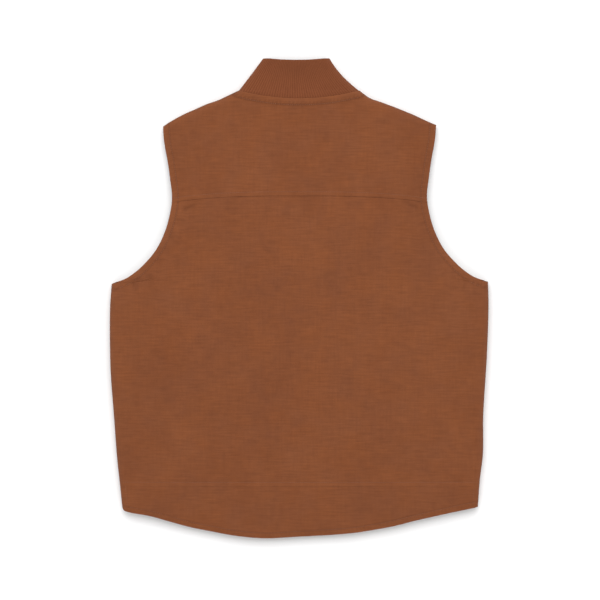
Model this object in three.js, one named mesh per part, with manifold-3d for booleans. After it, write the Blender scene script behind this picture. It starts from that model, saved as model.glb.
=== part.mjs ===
// Utility work vest of duck canvas with a rib-knit collar, lying flat on its front with the back up.
// Millimetres, +Z up, +Y towards the collar. The origin is the middle of the outline, on the surface it lies on.

import * as THREE from 'three';
import Module from 'manifold-3d';
import { mergeVertices } from 'three/addons/utils/BufferGeometryUtils.js';

// Widths, measured flat across the back
const CHEST_WIDTH = 610;
const HEM_WIDTH = 573;
const SHOULDER_WIDTH = 442;
const ARMHOLE_WAIST = 412;
const NECK_WIDTH = 195.5;
const NECK_SHIFT = -0.9;
const COLLAR_TOP_WIDTH = 108;
const COLLAR_LEAN = -5;

// Lengths, measured flat down the back
const BACK_LENGTH = 710;
const COLLAR_HEIGHT = 65.5;
const COLLAR_TOP_DIP = 3.3;
const COLLAR_SIDE_BOW = { left: 0.3, right: 5 };
const NECK_RISE = 13;
const SHOULDER_DROP = 55;
const ARMHOLE_DEPTH = 253.5;
const YOKE_DEPTH = 158;
const YOKE_END_DIP = 10;
const TAIL_DEPTH = 85;
const TAIL_DROP = 51.5;

// The front, which lies underneath
const FRONT_NECK_DROP = 105;
const FRONT_HEM_RISE = 57;
const FRONT_ARMHOLE_INSET = 5;

// Cloth, closed edges and turned bands
const BODY_WALL = 3;
const COLLAR_WALL = 4;
const SEAM_GAP = 0.5;
const CROWN_HEIGHT = 44;
const ROLL_REACH = 13.5;
const ROLL_SHAPE = 1.15;
const ARMHOLE_DROOP = 8;
const DROOP_REACH = 45;
const BAND_RISE = 0.9;
const ARMHOLE_BAND = 12;
const NECK_BAND = 10;
const SEAM_BAND = 8;
const BAND_STEP = 1.5;
const RIB_PITCH = 3.2;
const RIB_RISE = 0.8;

// How round the yoke seam's ends and the swell of the back are
const YOKE_END_POWER = 3;
const SWELL_POWER = 1.5;

// A point this near a closed edge is on it, and a slope is read over the probe's length
const ON_EDGE = 0.5;
const PROBE = 0.5;

// A line beside the neck is stretched along the slanting seam, and one beside an edge where that runs aslant
const NECK_LINE_STRETCH = 1.15;
const LEAST_SLANT = 0.45;
const SLANT_STEP = 0.004;
const ROW_SPREAD = 1.6;

// Closed zip down the front
const ZIP_OPEN_WIDTH = 14;
const ZIP_CHAIN_WIDTH = 6;
const ZIP_TAPE_WIDTH = 34;
const ZIP_TAPE_WALL = 1;
const ZIP_LIFT = 0.3;
const SLIDER_LENGTH = 11;
const SLIDER_WIDTH = 10;
const SLIDER_WALL = 1.3;
const PULL_LENGTH = 26;
const PULL_WIDTH = 7;
const PULL_WALL = 1;
const ROUND_END_SEGMENTS = 6;

const CANVAS_BROWN = 0x89522f;
const KNIT_BROWN = 0x7d4b31;
const ZIP_BROWN = 0x5a3a26;
const CLOTH_ROUGHNESS = 0.93;
const ZIP_ROUGHNESS = 0.6;
const ZIP_METALNESS = 0.1;

// Shoulder seam from the neck (out 0) to the armhole (out 1), in shares of SHOULDER_DROP
const SHOULDER = [
  { out: 0, left: 0, right: 0 },
  { out: 0.13, left: 0.14, right: 0.215 },
  { out: 0.27, left: 0.285, right: 0.33 },
  { out: 0.42, left: 0.4, right: 0.455 },
  { out: 0.56, left: 0.54, right: 0.58 },
  { out: 0.7, left: 0.675, right: 0.71 },
  { out: 0.83, left: 0.825, right: 0.845 },
  { out: 0.94, left: 0.97, right: 0.955 },
  { out: 1, left: 1.06, right: 1.005 },
];

// Armhole from the shoulder (down 0) to the underarm (down 1). Above the waist of the curve tip is the share of
// the way out to the shoulder, and below it chest is the share of the way out to the underarm.
const ARMHOLE = [
  { down: 0, tip: 1, chest: 0 },
  { down: 0.1, tip: 0.855, chest: 0 },
  { down: 0.22, tip: 0.49, chest: 0 },
  { down: 0.34, tip: 0.2, chest: 0 },
  { down: 0.46, tip: 0, chest: 0 },
  { down: 0.59, tip: 0, chest: 0.055 },
  { down: 0.7, tip: 0, chest: 0.15 },
  { down: 0.79, tip: 0, chest: 0.275 },
  { down: 0.86, tip: 0, chest: 0.425 },
  { down: 0.92, tip: 0, chest: 0.59 },
  { down: 0.97, tip: 0, chest: 0.785 },
  { down: 1, tip: 0, chest: 1 },
];

// Side fold from the underarm (down 0) to the hem (down 1), in shares of the taper from chest to hem
const SIDE = [
  { down: 0, left: 0.095, right: 0.03 },
  { down: 0.12, left: -0.04, right: 0.005 },
  { down: 0.33, left: -0.025, right: 0.145 },
  { down: 0.43, left: 0.07, right: 0.27 },
  { down: 0.6, left: 0.33, right: 0.465 },
  { down: 0.76, left: 0.56, right: 0.48 },
  { down: 0.88, left: 0.815, right: 0.755 },
  { down: 1, left: 1.06, right: 0.92 },
];

// Hem of the drop tail from the left corner (across -1) to the right one, in shares of TAIL_DROP
const HEM = [
  { across: -1, drop: 0.125 },
  { across: -0.95, drop: 0.2 },
  { across: -0.84, drop: 0.31 },
  { across: -0.73, drop: 0.48 },
  { across: -0.62, drop: 0.65 },
  { across: -0.5, drop: 0.785 },
  { across: -0.36, drop: 0.925 },
  { across: -0.2, drop: 1 },
  { across: -0.03, drop: 0.955 },
  { across: 0.18, drop: 0.89 },
  { across: 0.32, drop: 0.815 },
  { across: 0.42, drop: 0.725 },
  { across: 0.53, drop: 0.61 },
  { across: 0.64, drop: 0.45 },
  { across: 0.75, drop: 0.31 },
  { across: 0.87, drop: 0.16 },
  { across: 1, drop: 0.01 },
];

// How high the back lies, from the hem (up 0) to the collar's top (up 1): edge beside the closed edges and crown
// on the centre line in shares of CROWN_HEIGHT, and spread, the half width of the swell, in shares of CHEST_WIDTH
const LIE = [
  { up: 0, edge: 0.3, crown: 0.38, spread: 0.46 },
  { up: 0.07, edge: 0.44, crown: 0.52, spread: 0.47 },
  { up: 0.15, edge: 0.51, crown: 0.68, spread: 0.48 },
  { up: 0.28, edge: 0.56, crown: 0.88, spread: 0.49 },
  { up: 0.45, edge: 0.59, crown: 1, spread: 0.48 },
  { up: 0.6, edge: 0.59, crown: 0.98, spread: 0.43 },
  { up: 0.72, edge: 0.55, crown: 0.86, spread: 0.37 },
  { up: 0.84, edge: 0.5, crown: 0.68, spread: 0.34 },
  { up: 0.92, edge: 0.47, crown: 0.54, spread: 0.28 },
  { up: 1, edge: 0.45, crown: 0.46, spread: 0.16 },
];

// Mesh rows and columns: how many a stretch of a piece is divided into
const GRID = {
  yokeRows: 5,
  shoulderColumns: 6,
  neckColumns: 4,
  backColumns: 14,
  backRows: 10,
  backArmholeRows: 8,
  tailRows: 4,
  frontColumns: 6,
  frontSideRows: 7,
  frontChestRows: 6,
  frontNeckRows: 9,
};
const COLLAR_MIDDLE_ROW = 0.5;

// Straight steps that each edge of the outline is followed in
const STEPS = { collarFold: 12, shoulder: 24, side: 48, armhole: 60, hem: 60, neck: 24 };

// Shares of the rows of a panel that lie below the underarm and, on the front, below the neck seam
const BACK_UNDERARM_SHARE = 0.7;
const FRONT_UNDERARM_SHARE = 0.5;
const FRONT_NECK_SHARE = 0.8;

const LEFT = { name: 'left', sign: -1 };
const RIGHT = { name: 'right', sign: 1 };

const TOTAL_LENGTH = BACK_LENGTH + COLLAR_HEIGHT;
const TOP_Y = TOTAL_LENGTH / 2;
const NECK_Y = TOP_Y - COLLAR_HEIGHT;
const SHOULDER_Y = NECK_Y + NECK_RISE;
const YOKE_Y = NECK_Y - YOKE_DEPTH;
const HEM_LOW_Y = -TOTAL_LENGTH / 2;
const HEM_CORNER_Y = HEM_LOW_Y + TAIL_DROP;
const TAIL_SEAM_Y = HEM_LOW_Y + TAIL_DEPTH;
const FRONT_HEM_Y = HEM_LOW_Y + FRONT_HEM_RISE;
const FRONT_NECK_Y = SHOULDER_Y - FRONT_NECK_DROP;
const COLLAR_FRONT_TOP_Y = FRONT_NECK_Y + COLLAR_HEIGHT;
const ZIP_SIDE_X = ZIP_OPEN_WIDTH / 2;

// Distances from an edge that have a mesh line of their own, where the cloth rolls over and where a band ends
const ROLL_LINES = [0, 0.1, 0.33, 0.64].map((share) => share * ROLL_REACH);
const EDGE_LINES = [...ROLL_LINES, ARMHOLE_BAND, ARMHOLE_BAND + BAND_STEP];
const NECK_LINES = [...ROLL_LINES, ROLL_REACH].map((d) => d * NECK_LINE_STRETCH);
const SEAM_LINES = [0, SEAM_BAND, SEAM_BAND + BAND_STEP];
const YOKE_TOP_LINES = [...ROLL_LINES, NECK_BAND, NECK_BAND + BAND_STEP, ROLL_REACH + BAND_STEP];

function lerp(a, b, share) {
  return a + (b - a) * share;
}

// Smooth curve through one column of a table
function through(rows, key, value, at) {
  const last = rows.length - 1;
  let i = 0;
  while (i < last - 1 && at > rows[i + 1][key]) {
    i += 1;
  }
  const slope = (j) => {
    const before = rows[Math.max(j - 1, 0)];
    const after = rows[Math.min(j + 1, last)];
    return (after[value] - before[value]) / (after[key] - before[key]);
  };
  const span = rows[i + 1][key] - rows[i][key];
  const t = Math.min(Math.max((at - rows[i][key]) / span, 0), 1);
  const rise = t * t * (3 - 2 * t);
  const ease = t * (1 - t) * span;
  const carried = ease * ((1 - t) * slope(i) - t * slope(i + 1));
  return lerp(rows[i][value], rows[i + 1][value], rise) + carried;
}

function point(x, y) {
  return new THREE.Vector2(x, y);
}

// Outline of the garment, seen from above
function neckEnd(side) {
  return point(NECK_SHIFT + (side.sign * NECK_WIDTH) / 2, SHOULDER_Y);
}

function neckSeam(across) {
  const y = NECK_Y + NECK_RISE * across * across;
  return point(NECK_SHIFT + (across * NECK_WIDTH) / 2, y);
}

function collarTop(across) {
  const y = TOP_Y - COLLAR_TOP_DIP * (1 - across * across);
  return point(COLLAR_LEAN + (across * COLLAR_TOP_WIDTH) / 2, y);
}

function collarFold(side, up) {
  const bow = COLLAR_SIDE_BOW[side.name] * 4 * up * (1 - up);
  const at = neckEnd(side).lerp(collarTop(side.sign), up);
  return point(at.x - side.sign * bow, at.y);
}

function shoulder(side, out) {
  const neck = neckEnd(side);
  const x = lerp(neck.x, (side.sign * SHOULDER_WIDTH) / 2, out);
  return point(x, neck.y - SHOULDER_DROP * through(SHOULDER, 'out', side.name, out));
}

function underarmY(side) {
  return shoulder(side, 1).y - ARMHOLE_DEPTH;
}

function sideFold(side, down) {
  const taper = (CHEST_WIDTH - HEM_WIDTH) / 2;
  const half = CHEST_WIDTH / 2 - taper * through(SIDE, 'down', side.name, down);
  return point(side.sign * half, lerp(underarmY(side), hemY(side.sign), down));
}

function armhole(side, down, inset) {
  const waist = ARMHOLE_WAIST / 2;
  const tip = (SHOULDER_WIDTH / 2 - waist) * through(ARMHOLE, 'down', 'tip', down);
  const chestReach = Math.abs(sideFold(side, 0).x) - waist;
  const chest = chestReach * through(ARMHOLE, 'down', 'chest', down);
  const cut = inset * 4 * down * (1 - down);
  const y = lerp(shoulder(side, 1).y, underarmY(side), down);
  return point(side.sign * (waist + tip + chest - cut), y);
}

function hemY(across) {
  return HEM_CORNER_Y - TAIL_DROP * through(HEM, 'across', 'drop', across);
}

function yokeSeamY(x) {
  const across = Math.abs(x) / (ARMHOLE_WAIST / 2);
  return YOKE_Y - YOKE_END_DIP * across ** YOKE_END_POWER;
}

// Quarter round of the front neck seam and of the front of the collar's top edge
function frontRound(side, turn, end, centreY) {
  const angle = (turn * Math.PI) / 2;
  const x = lerp(end.x, side.sign * ZIP_SIDE_X, 1 - Math.cos(angle));
  return point(x, lerp(end.y, centreY, Math.sin(angle)));
}

function frontNeck(side, turn) {
  return frontRound(side, turn, neckEnd(side), FRONT_NECK_Y);
}

function frontCollarTop(side, turn) {
  return frontRound(side, turn, collarTop(side.sign), COLLAR_FRONT_TOP_Y);
}

// Lines that the height of the cloth is worked out from
function line(at, steps) {
  return Array.from({ length: steps + 1 }, (_, i) => at(i / steps));
}

function runLength(points) {
  return points.slice(1).reduce((sum, at, i) => sum + at.distanceTo(points[i]), 0);
}

const closedEdges = [LEFT, RIGHT].flatMap((side) => [
  line((t) => collarFold(side, t), STEPS.collarFold),
  line((t) => shoulder(side, t), STEPS.shoulder),
  line((t) => sideFold(side, t), STEPS.side),
]);
const armholeEdges = [LEFT, RIGHT].map((side) => line((t) => armhole(side, t, 0), STEPS.armhole));
const hemEdge = [line((t) => point(lerp(-HEM_WIDTH, HEM_WIDTH, t) / 2, hemY(lerp(-1, 1, t))), STEPS.hem)];
const neckEdge = [line((t) => neckSeam(lerp(-1, 1, t)), STEPS.neck)];

// Nearest place on some lines: how far it is, and the level direction that leads away from it
function nearest(lines, x, y) {
  let far = Infinity;
  let away = point(0, 1);
  for (const points of lines) {
    for (let i = 1; i < points.length; i += 1) {
      const a = points[i - 1];
      const run = points[i].clone().sub(a);
      const t = ((x - a.x) * run.x + (y - a.y) * run.y) / run.lengthSq();
      const foot = a.clone().addScaledVector(run, Math.min(Math.max(t, 0), 1));
      const off = point(x, y).sub(foot);
      const d = off.length();
      if (d < far) {
        far = d;
        const across = point(-run.y, run.x).normalize();
        const inward = across.dot(foot) > 0 ? across.negate() : across;
        away = d > ON_EDGE ? off.divideScalar(d) : inward;
      }
    }
  }
  return { far: far > ON_EDGE ? far : 0, away };
}

// Soft step from 1 at an edge to 0 beyond a band
function band(lines, x, y, width) {
  const past = (nearest(lines, x, y).far - width) / BAND_STEP;
  return Math.min(Math.max(1 - past, 0), 1);
}

// Raised bands where the cloth is turned and stitched down
function relief(x, y) {
  const armholes = band(armholeEdges, x, y, ARMHOLE_BAND);
  const hem = band(hemEdge, x, y, SEAM_BAND);
  const neck = y < NECK_Y + NECK_RISE ? band(neckEdge, x, y, NECK_BAND) : 0;
  const aboveYoke = y - yokeSeamY(x);
  const yoke = aboveYoke > 0 && aboveYoke < SEAM_BAND + BAND_STEP / 2 ? 1 : 0;
  const aboveTail = y - TAIL_SEAM_Y;
  const tail = aboveTail > 0 && aboveTail < SEAM_BAND + BAND_STEP / 2 ? 1 : 0;
  return BAND_RISE * Math.max(armholes, hem, neck, yoke, tail);
}

// Height of the seam that closes an edge, and of the back's smooth cloth away from it
function lie(x, y) {
  const up = (y - HEM_LOW_Y) / TOTAL_LENGTH;
  const edge = CROWN_HEIGHT * through(LIE, 'up', 'edge', up);
  const crown = CROWN_HEIGHT * through(LIE, 'up', 'crown', up);
  const spread = CHEST_WIDTH * through(LIE, 'up', 'spread', up);
  const out = Math.min(Math.abs(x) / spread, 1);
  const swell = (1 - out * out) ** SWELL_POWER;
  const nearArmhole = Math.max(1 - nearest(armholeEdges, x, y).far / DROOP_REACH, 0);
  const droop = ARMHOLE_DROOP * nearArmhole ** 2;
  return { seam: (edge - droop) / 2, top: lerp(edge, crown, swell) - droop };
}

// One point of the outer face of the back (layer 1) or of the front (layer -1), and its outward normal
function skin(x, y, layer, gap) {
  const here = lie(x, y);
  const alongX = lie(x + PROBE, y);
  const alongY = lie(x, y + PROBE);
  const { far, away } = nearest(closedEdges, x, y);
  const back = layer > 0;
  const goal = back ? here.top : 0;
  const reach = Math.min(ROLL_SHAPE * here.seam, ROLL_REACH);
  const left = 1 - Math.min(far / reach, 1);
  const turn = Math.sqrt(1 - left * left);
  const extra = back ? relief(x, y) * turn : 0;
  const z = lerp(here.seam + (layer * gap) / 2, goal, turn) + extra;
  const at = new THREE.Vector3(x, y, z);
  if (far === 0) {
    return { at, out: new THREE.Vector3(-away.x, -away.y, 0) };
  }
  const steep = ((goal - here.seam) * left) / (reach * turn);
  const slope = (next) => {
    const goalRise = back ? next.top - here.top : 0;
    return lerp(next.seam - here.seam, goalRise, turn) / PROBE;
  };
  const risesX = slope(alongX) + steep * away.x;
  const risesY = slope(alongY) + steep * away.y;
  return { at, out: new THREE.Vector3(-risesX, -risesY, 1).multiplyScalar(layer).normalize() };
}

// Closed slab of cloth under a grid of outer points, with a wall of even thickness
function slab(grid, wall) {
  const rows = grid.length;
  const columns = grid[0].length;
  const outer = grid.flat().map(({ at }) => at);
  const inner = grid.flat().map(({ at, out, thick }) => at.clone().addScaledVector(out, -(thick ?? wall)));
  const positions = [...outer, ...inner].flatMap((v) => [v.x, v.y, v.z]);
  const below = rows * columns;
  const index = [];
  const quad = (a, b, c, d) => index.push(a, b, c, a, c, d);
  for (let r = 1; r < rows; r += 1) {
    for (let c = 1; c < columns; c += 1) {
      const a = (r - 1) * columns + c - 1;
      const b = a + 1;
      const d = r * columns + c - 1;
      quad(a, b, d + 1, d);
      quad(below + a, below + d, below + d + 1, below + b);
    }
  }
  for (let c = 1; c < columns; c += 1) {
    const last = (rows - 1) * columns;
    quad(c - 1, below + c - 1, below + c, c);
    quad(last + c, below + last + c, below + last + c - 1, last + c - 1);
  }
  for (let r = 1; r < rows; r += 1) {
    const a = (r - 1) * columns;
    const b = r * columns;
    quad(b, below + b, below + a, a);
    quad(a + columns - 1, below + a + columns - 1, below + b + columns - 1, b + columns - 1);
  }
  const geometry = new THREE.BufferGeometry();
  geometry.setAttribute('position', new THREE.Float32BufferAttribute(positions, 3));
  geometry.setIndex(signedVolume(positions, index) < 0 ? index.reverse() : index);
  geometry.computeVertexNormals();
  return geometry;
}

function signedVolume(positions, index) {
  const corner = (i) => new THREE.Vector3().fromArray(positions, 3 * i);
  let volume = 0;
  for (let i = 0; i < index.length; i += 3) {
    volume += corner(index[i]).dot(corner(index[i + 1]).cross(corner(index[i + 2]))) / 6;
  }
  return volume;
}

// Patch of cloth between a lower and an upper edge that run left to right and two sides that run upwards
function patch({ lower, upper, left, right }) {
  return (u, v) => {
    const level = lower(u).lerp(upper(u), v);
    const upright = left(v).lerp(right(v), u);
    const lowCorners = left(0).lerp(right(0), u);
    const highCorners = left(1).lerp(right(1), u);
    return level.add(upright).sub(lowCorners.lerp(highCorners, v));
  };
}

// Shares along a span that hold the given lines near each end and the shares of the rest between them
function spaced(length, nearStart, nearEnd, between) {
  const first = nearStart[nearStart.length - 1];
  const last = length - nearEnd[nearEnd.length - 1];
  const middle = between.map((share) => lerp(first, last, share) / length);
  const start = nearStart.map((d) => d / length);
  const end = nearEnd.map((d) => 1 - d / length).reverse();
  return [...start, ...middle, ...end];
}

// Shares that divide a stretch evenly, without its two ends
function even(count) {
  return Array.from({ length: count - 1 }, (_, i) => (i + 1) / count);
}

// Shares that divide a stretch more closely towards its start, with its end and without its start
function denserFirst(count) {
  return [...even(count), 1].map((t) => t ** ROW_SPREAD);
}

// Row-wise stretch of the edge lines where an edge runs aslant to the rows
function slant(edge, v) {
  const to = Math.max(v, SLANT_STEP);
  const run = edge(to).sub(edge(to - SLANT_STEP));
  return 1 / Math.max(Math.abs(run.y) / run.length(), LEAST_SLANT);
}

// Shares across the yoke, with a column at each end of the neck seam and more where the neck rolls over beside it
function yokeColumns() {
  const reach = EDGE_LINES[EDGE_LINES.length - 1];
  const leftTip = shoulder(LEFT, 1).x;
  const rightTip = shoulder(RIGHT, 1).x;
  const share = (x) => (x - leftTip - reach) / (rightTip - leftTip - 2 * reach);
  const leftNeck = share(neckEnd(LEFT).x);
  const rightNeck = share(neckEnd(RIGHT).x);
  const neck = spaced(NECK_WIDTH, NECK_LINES, NECK_LINES, even(GRID.neckColumns));
  const shoulders = even(GRID.shoulderColumns);
  return [
    ...shoulders.map((t) => t * leftNeck),
    ...neck.map((t) => lerp(leftNeck, rightNeck, t)),
    ...shoulders.map((t) => lerp(rightNeck, 1, t)),
  ];
}

// Distance between a piece's lower and upper edges on its centre line
function heightOf({ lower, upper }) {
  return lower(0.5).distanceTo(upper(0.5));
}

// Grid of a piece of the back, with the given rows and columns between its side lines
function backGrid(edges, rows, between) {
  const at = patch(edges);
  return rows.map((v) => {
    const width = edges.left(v).distanceTo(edges.right(v));
    const near = (edge) => EDGE_LINES.map((d) => d * slant(edge, v));
    const columns = spaced(width, near(edges.left), near(edges.right), between);
    return columns.map((u) => {
      const { x, y } = at(u, v);
      return skin(x, y, 1, SEAM_GAP);
    });
  });
}

// Share of the armhole where the yoke seam meets it
function yokeShare(side) {
  const tipY = shoulder(side, 1).y;
  return (tipY - (YOKE_Y - YOKE_END_DIP)) / (tipY - underarmY(side));
}

function seamLine(y, left, right) {
  return (u) => {
    const x = lerp(left.x, right.x, u);
    return point(x, y(x));
  };
}

function backYoke() {
  const side = (which) => (v) => {
    const from = yokeShare(which) - SEAM_GAP / 2 / ARMHOLE_DEPTH;
    return armhole(which, lerp(from, 0, v), 0);
  };
  const left = side(LEFT);
  const right = side(RIGHT);
  const lower = seamLine((x) => yokeSeamY(x) + SEAM_GAP / 2, left(0), right(0));
  const upper = (u) => {
    const x = lerp(left(1).x, right(1).x, u);
    for (const which of [LEFT, RIGHT]) {
      const neck = neckEnd(which).x;
      const tip = shoulder(which, 1).x;
      const out = (x - neck) / (tip - neck);
      if (out >= 0) {
        return shoulder(which, Math.min(out, 1));
      }
    }
    const across = (x - NECK_SHIFT) / (NECK_WIDTH / 2);
    const seam = neckSeam(across);
    return point(seam.x, seam.y - SEAM_GAP / 2);
  };
  const edges = { lower, upper, left, right };
  const rows = spaced(heightOf(edges), SEAM_LINES, YOKE_TOP_LINES, even(GRID.yokeRows));
  return slab(backGrid(edges, rows, yokeColumns()), BODY_WALL);
}

// Lower armhole above the underarm and side fold below it, as one edge that runs upwards
function bodySide(which, fromY) {
  const fold = (fromY - sideFold(which, 0).y) / (hemY(which.sign) - sideFold(which, 0).y);
  const from = yokeShare(which) + SEAM_GAP / 2 / ARMHOLE_DEPTH;
  return (v) => {
    if (v <= BACK_UNDERARM_SHARE) {
      return sideFold(which, lerp(fold, 0, v / BACK_UNDERARM_SHARE));
    }
    const up = (v - BACK_UNDERARM_SHARE) / (1 - BACK_UNDERARM_SHARE);
    return armhole(which, lerp(1, from, up), 0);
  };
}

function backPanel() {
  const low = TAIL_SEAM_Y + SEAM_GAP / 2;
  const left = bodySide(LEFT, low);
  const right = bodySide(RIGHT, low);
  const lower = seamLine(() => low, left(0), right(0));
  const upper = seamLine((x) => yokeSeamY(x) - SEAM_GAP / 2, left(1), right(1));
  const edges = { lower, upper, left, right };
  const sideHeight = heightOf(edges) * BACK_UNDERARM_SHARE;
  const rows = [
    ...spaced(sideHeight, SEAM_LINES, [0], even(GRID.backRows)).map((t) => t * BACK_UNDERARM_SHARE),
    ...denserFirst(GRID.backArmholeRows).map((t) => lerp(BACK_UNDERARM_SHARE, 1, t)),
  ];
  return slab(backGrid(edges, rows, even(GRID.backColumns)), BODY_WALL);
}

function backTail() {
  const high = TAIL_SEAM_Y - SEAM_GAP / 2;
  const side = (which) => (v) => {
    const start = sideFold(which, 0).y;
    const end = hemY(which.sign);
    return sideFold(which, lerp(1, (high - start) / (end - start), v));
  };
  const left = side(LEFT);
  const right = side(RIGHT);
  const lower = (u) => point(lerp(left(0).x, right(0).x, u), hemY(lerp(-1, 1, u)));
  const upper = seamLine(() => high, left(1), right(1));
  const edges = { lower, upper, left, right };
  const rows = spaced(heightOf(edges), SEAM_LINES, [0], even(GRID.tailRows));
  return slab(backGrid(edges, rows, even(GRID.backColumns)), BODY_WALL);
}

// Half of the front, from the zip out to the side fold and the armhole, and up to the shoulder
function frontPanel(which) {
  const foldEnd = (sideFold(which, 0).y - FRONT_HEM_Y) / (sideFold(which, 0).y - hemY(which.sign));
  const outer = (v) => {
    if (v <= FRONT_UNDERARM_SHARE) {
      return sideFold(which, lerp(foldEnd, 0, v / FRONT_UNDERARM_SHARE));
    }
    const up = (v - FRONT_UNDERARM_SHARE) / (1 - FRONT_UNDERARM_SHARE);
    return armhole(which, 1 - up, FRONT_ARMHOLE_INSET);
  };
  const inner = (v) => {
    if (v <= FRONT_NECK_SHARE) {
      const top = FRONT_NECK_Y - SEAM_GAP;
      return point(which.sign * ZIP_SIDE_X, lerp(FRONT_HEM_Y, top, v / FRONT_NECK_SHARE));
    }
    const turn = 1 - (v - FRONT_NECK_SHARE) / (1 - FRONT_NECK_SHARE);
    const angle = (turn * Math.PI) / 2;
    const away = point(which.sign * Math.cos(angle), -Math.sin(angle));
    return frontNeck(which, turn).addScaledVector(away, SEAM_GAP);
  };
  const lower = (u) => inner(0).lerp(outer(0), u);
  const upper = (u) => (u === 0 ? inner(1) : shoulder(which, u));
  const at = patch({ lower, upper, left: inner, right: outer });
  const neckRows = spaced(roundLength(frontNeck), [0], [...ROLL_LINES, ROLL_REACH], even(GRID.frontNeckRows));
  const rows = [
    0,
    ...even(GRID.frontSideRows).map((t) => t * FRONT_UNDERARM_SHARE),
    FRONT_UNDERARM_SHARE,
    ...denserFirst(GRID.frontChestRows - 1).map((t) => lerp(FRONT_UNDERARM_SHARE, FRONT_NECK_SHARE, t)),
    ...neckRows.slice(1).map((t) => lerp(FRONT_NECK_SHARE, 1, t)),
  ];
  const grid = rows.map((v) => {
    const width = inner(v).distanceTo(outer(v));
    const near = EDGE_LINES.map((d) => d * slant(outer, v));
    return spaced(width, [0], near, even(GRID.frontColumns)).map((u) => {
      const { x, y } = at(u, v);
      return skin(x, y, -1, SEAM_GAP);
    });
  });
  return slab(grid, BODY_WALL);
}

function roundLength(at) {
  return runLength(line((t) => at(RIGHT, t), STEPS.neck));
}

// Rib-knit collar: one strip from the zip round one side fold, across the back and round the other fold
function collar() {
  const backRibs = Math.round((NECK_WIDTH + COLLAR_TOP_WIDTH) / 2 / RIB_PITCH);
  const frontLength = (roundLength(frontNeck) + roundLength(frontCollarTop)) / 2;
  const frontRibs = Math.round(frontLength / RIB_PITCH);
  const sideRun = (side) => even(2 * frontRibs).map((turn) => ({ side, turn, layer: -1 }));
  const stations = [
    { side: LEFT, turn: 1, layer: -1 },
    ...sideRun(LEFT).reverse(),
    ...line((t) => ({ across: lerp(-1, 1, t), layer: 1 }), 2 * backRibs),
    ...sideRun(RIGHT),
    { side: RIGHT, turn: 1, layer: -1 },
  ];
  const start = SEAM_GAP / COLLAR_HEIGHT;
  const rows = [start, COLLAR_MIDDLE_ROW, 1];
  const grid = rows.map((v) => stations.map((station, i) => {
    const { side, turn, across, layer } = station;
    const onBack = layer > 0;
    const low = onBack ? neckSeam(across) : frontNeck(side, turn);
    const high = onBack ? collarTop(across) : frontCollarTop(side, turn);
    const toSide = onBack ? across : side.sign * (1 - turn);
    const bow = COLLAR_SIDE_BOW[toSide < 0 ? LEFT.name : RIGHT.name];
    const at = low.lerp(high, v);
    const x = at.x - toSide * bow * 4 * v * (1 - v);
    const spot = skin(x, at.y, layer, 0);
    const groove = i % 2 === 1 ? RIB_RISE : 0;
    spot.at.addScaledVector(spot.out, -groove);
    spot.thick = COLLAR_WALL - groove;
    return spot;
  }));
  return slab(grid, COLLAR_WALL);
}

const wasm = await Module();
wasm.setup();

function solid(geometry) {
  const bare = geometry.clone();
  bare.deleteAttribute('normal');
  bare.deleteAttribute('uv');
  const merged = mergeVertices(bare, 1e-3);
  const vertProperties = new Float32Array(merged.attributes.position.array);
  const triVerts = new Uint32Array(merged.index.array);
  return new wasm.Manifold(new wasm.Mesh({ numProp: 3, vertProperties, triVerts }));
}

function meshOf(manifold) {
  const mesh = manifold.getMesh();
  const geometry = new THREE.BufferGeometry();
  geometry.setAttribute('position', new THREE.Float32BufferAttribute(mesh.vertProperties, 3));
  geometry.setIndex(Array.from(mesh.triVerts));
  geometry.computeVertexNormals();
  return geometry;
}

// Plate with round ends along the zip, from one level up to another
function plate(width, length, endY, low, high) {
  const round = width / 2;
  const outline = new THREE.Shape();
  outline.absarc(0, endY - round, round, 0, Math.PI);
  outline.absarc(0, endY - length + round, round, Math.PI, 2 * Math.PI);
  const settings = { depth: high - low, bevelEnabled: false, curveSegments: ROUND_END_SEGMENTS };
  return new THREE.ExtrudeGeometry(outline, settings).translate(0, 0, low);
}

// Closed zip: the chain between the front edges, the tape behind them and the slider at the top with its pull
function frontZip() {
  const chainLow = ZIP_LIFT + SLIDER_WALL;
  const tapeLow = COLLAR_WALL + SEAM_GAP;
  const tapeHigh = tapeLow + ZIP_TAPE_WALL;
  const half = ZIP_CHAIN_WIDTH / 2;
  const tape = ZIP_TAPE_WIDTH / 2;
  const section = new THREE.Shape([
    point(-half, chainLow),
    point(half, chainLow),
    point(half, tapeLow),
    point(tape, tapeLow),
    point(tape, tapeHigh),
    point(-tape, tapeHigh),
    point(-tape, tapeLow),
    point(-half, tapeLow),
  ]);
  const depth = COLLAR_FRONT_TOP_Y - FRONT_HEM_Y;
  const strip = new THREE.ExtrudeGeometry(section, { depth, bevelEnabled: false });
  strip.rotateX(Math.PI / 2);
  strip.translate(0, COLLAR_FRONT_TOP_Y, 0);
  const sliderEnd = COLLAR_FRONT_TOP_Y - SLIDER_LENGTH;
  const slider = plate(SLIDER_WIDTH, SLIDER_LENGTH, sliderEnd, ZIP_LIFT, tapeHigh + SLIDER_WALL);
  const pull = plate(PULL_WIDTH, PULL_LENGTH, sliderEnd - SLIDER_WIDTH / 2, ZIP_LIFT, ZIP_LIFT + PULL_WALL);
  return meshOf(solid(strip).add(solid(slider)).add(solid(pull)));
}

function finish(color, roughness, metalness) {
  return new THREE.MeshStandardMaterial({ color, roughness, metalness });
}

const canvas = finish(CANVAS_BROWN, CLOTH_ROUGHNESS, 0);
const knit = finish(KNIT_BROWN, CLOTH_ROUGHNESS, 0);
const zip = finish(ZIP_BROWN, ZIP_ROUGHNESS, ZIP_METALNESS);

const vest = new THREE.Group();

function add(name, geometry, material) {
  const mesh = new THREE.Mesh(geometry, material);
  mesh.name = name;
  vest.add(mesh);
}

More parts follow.
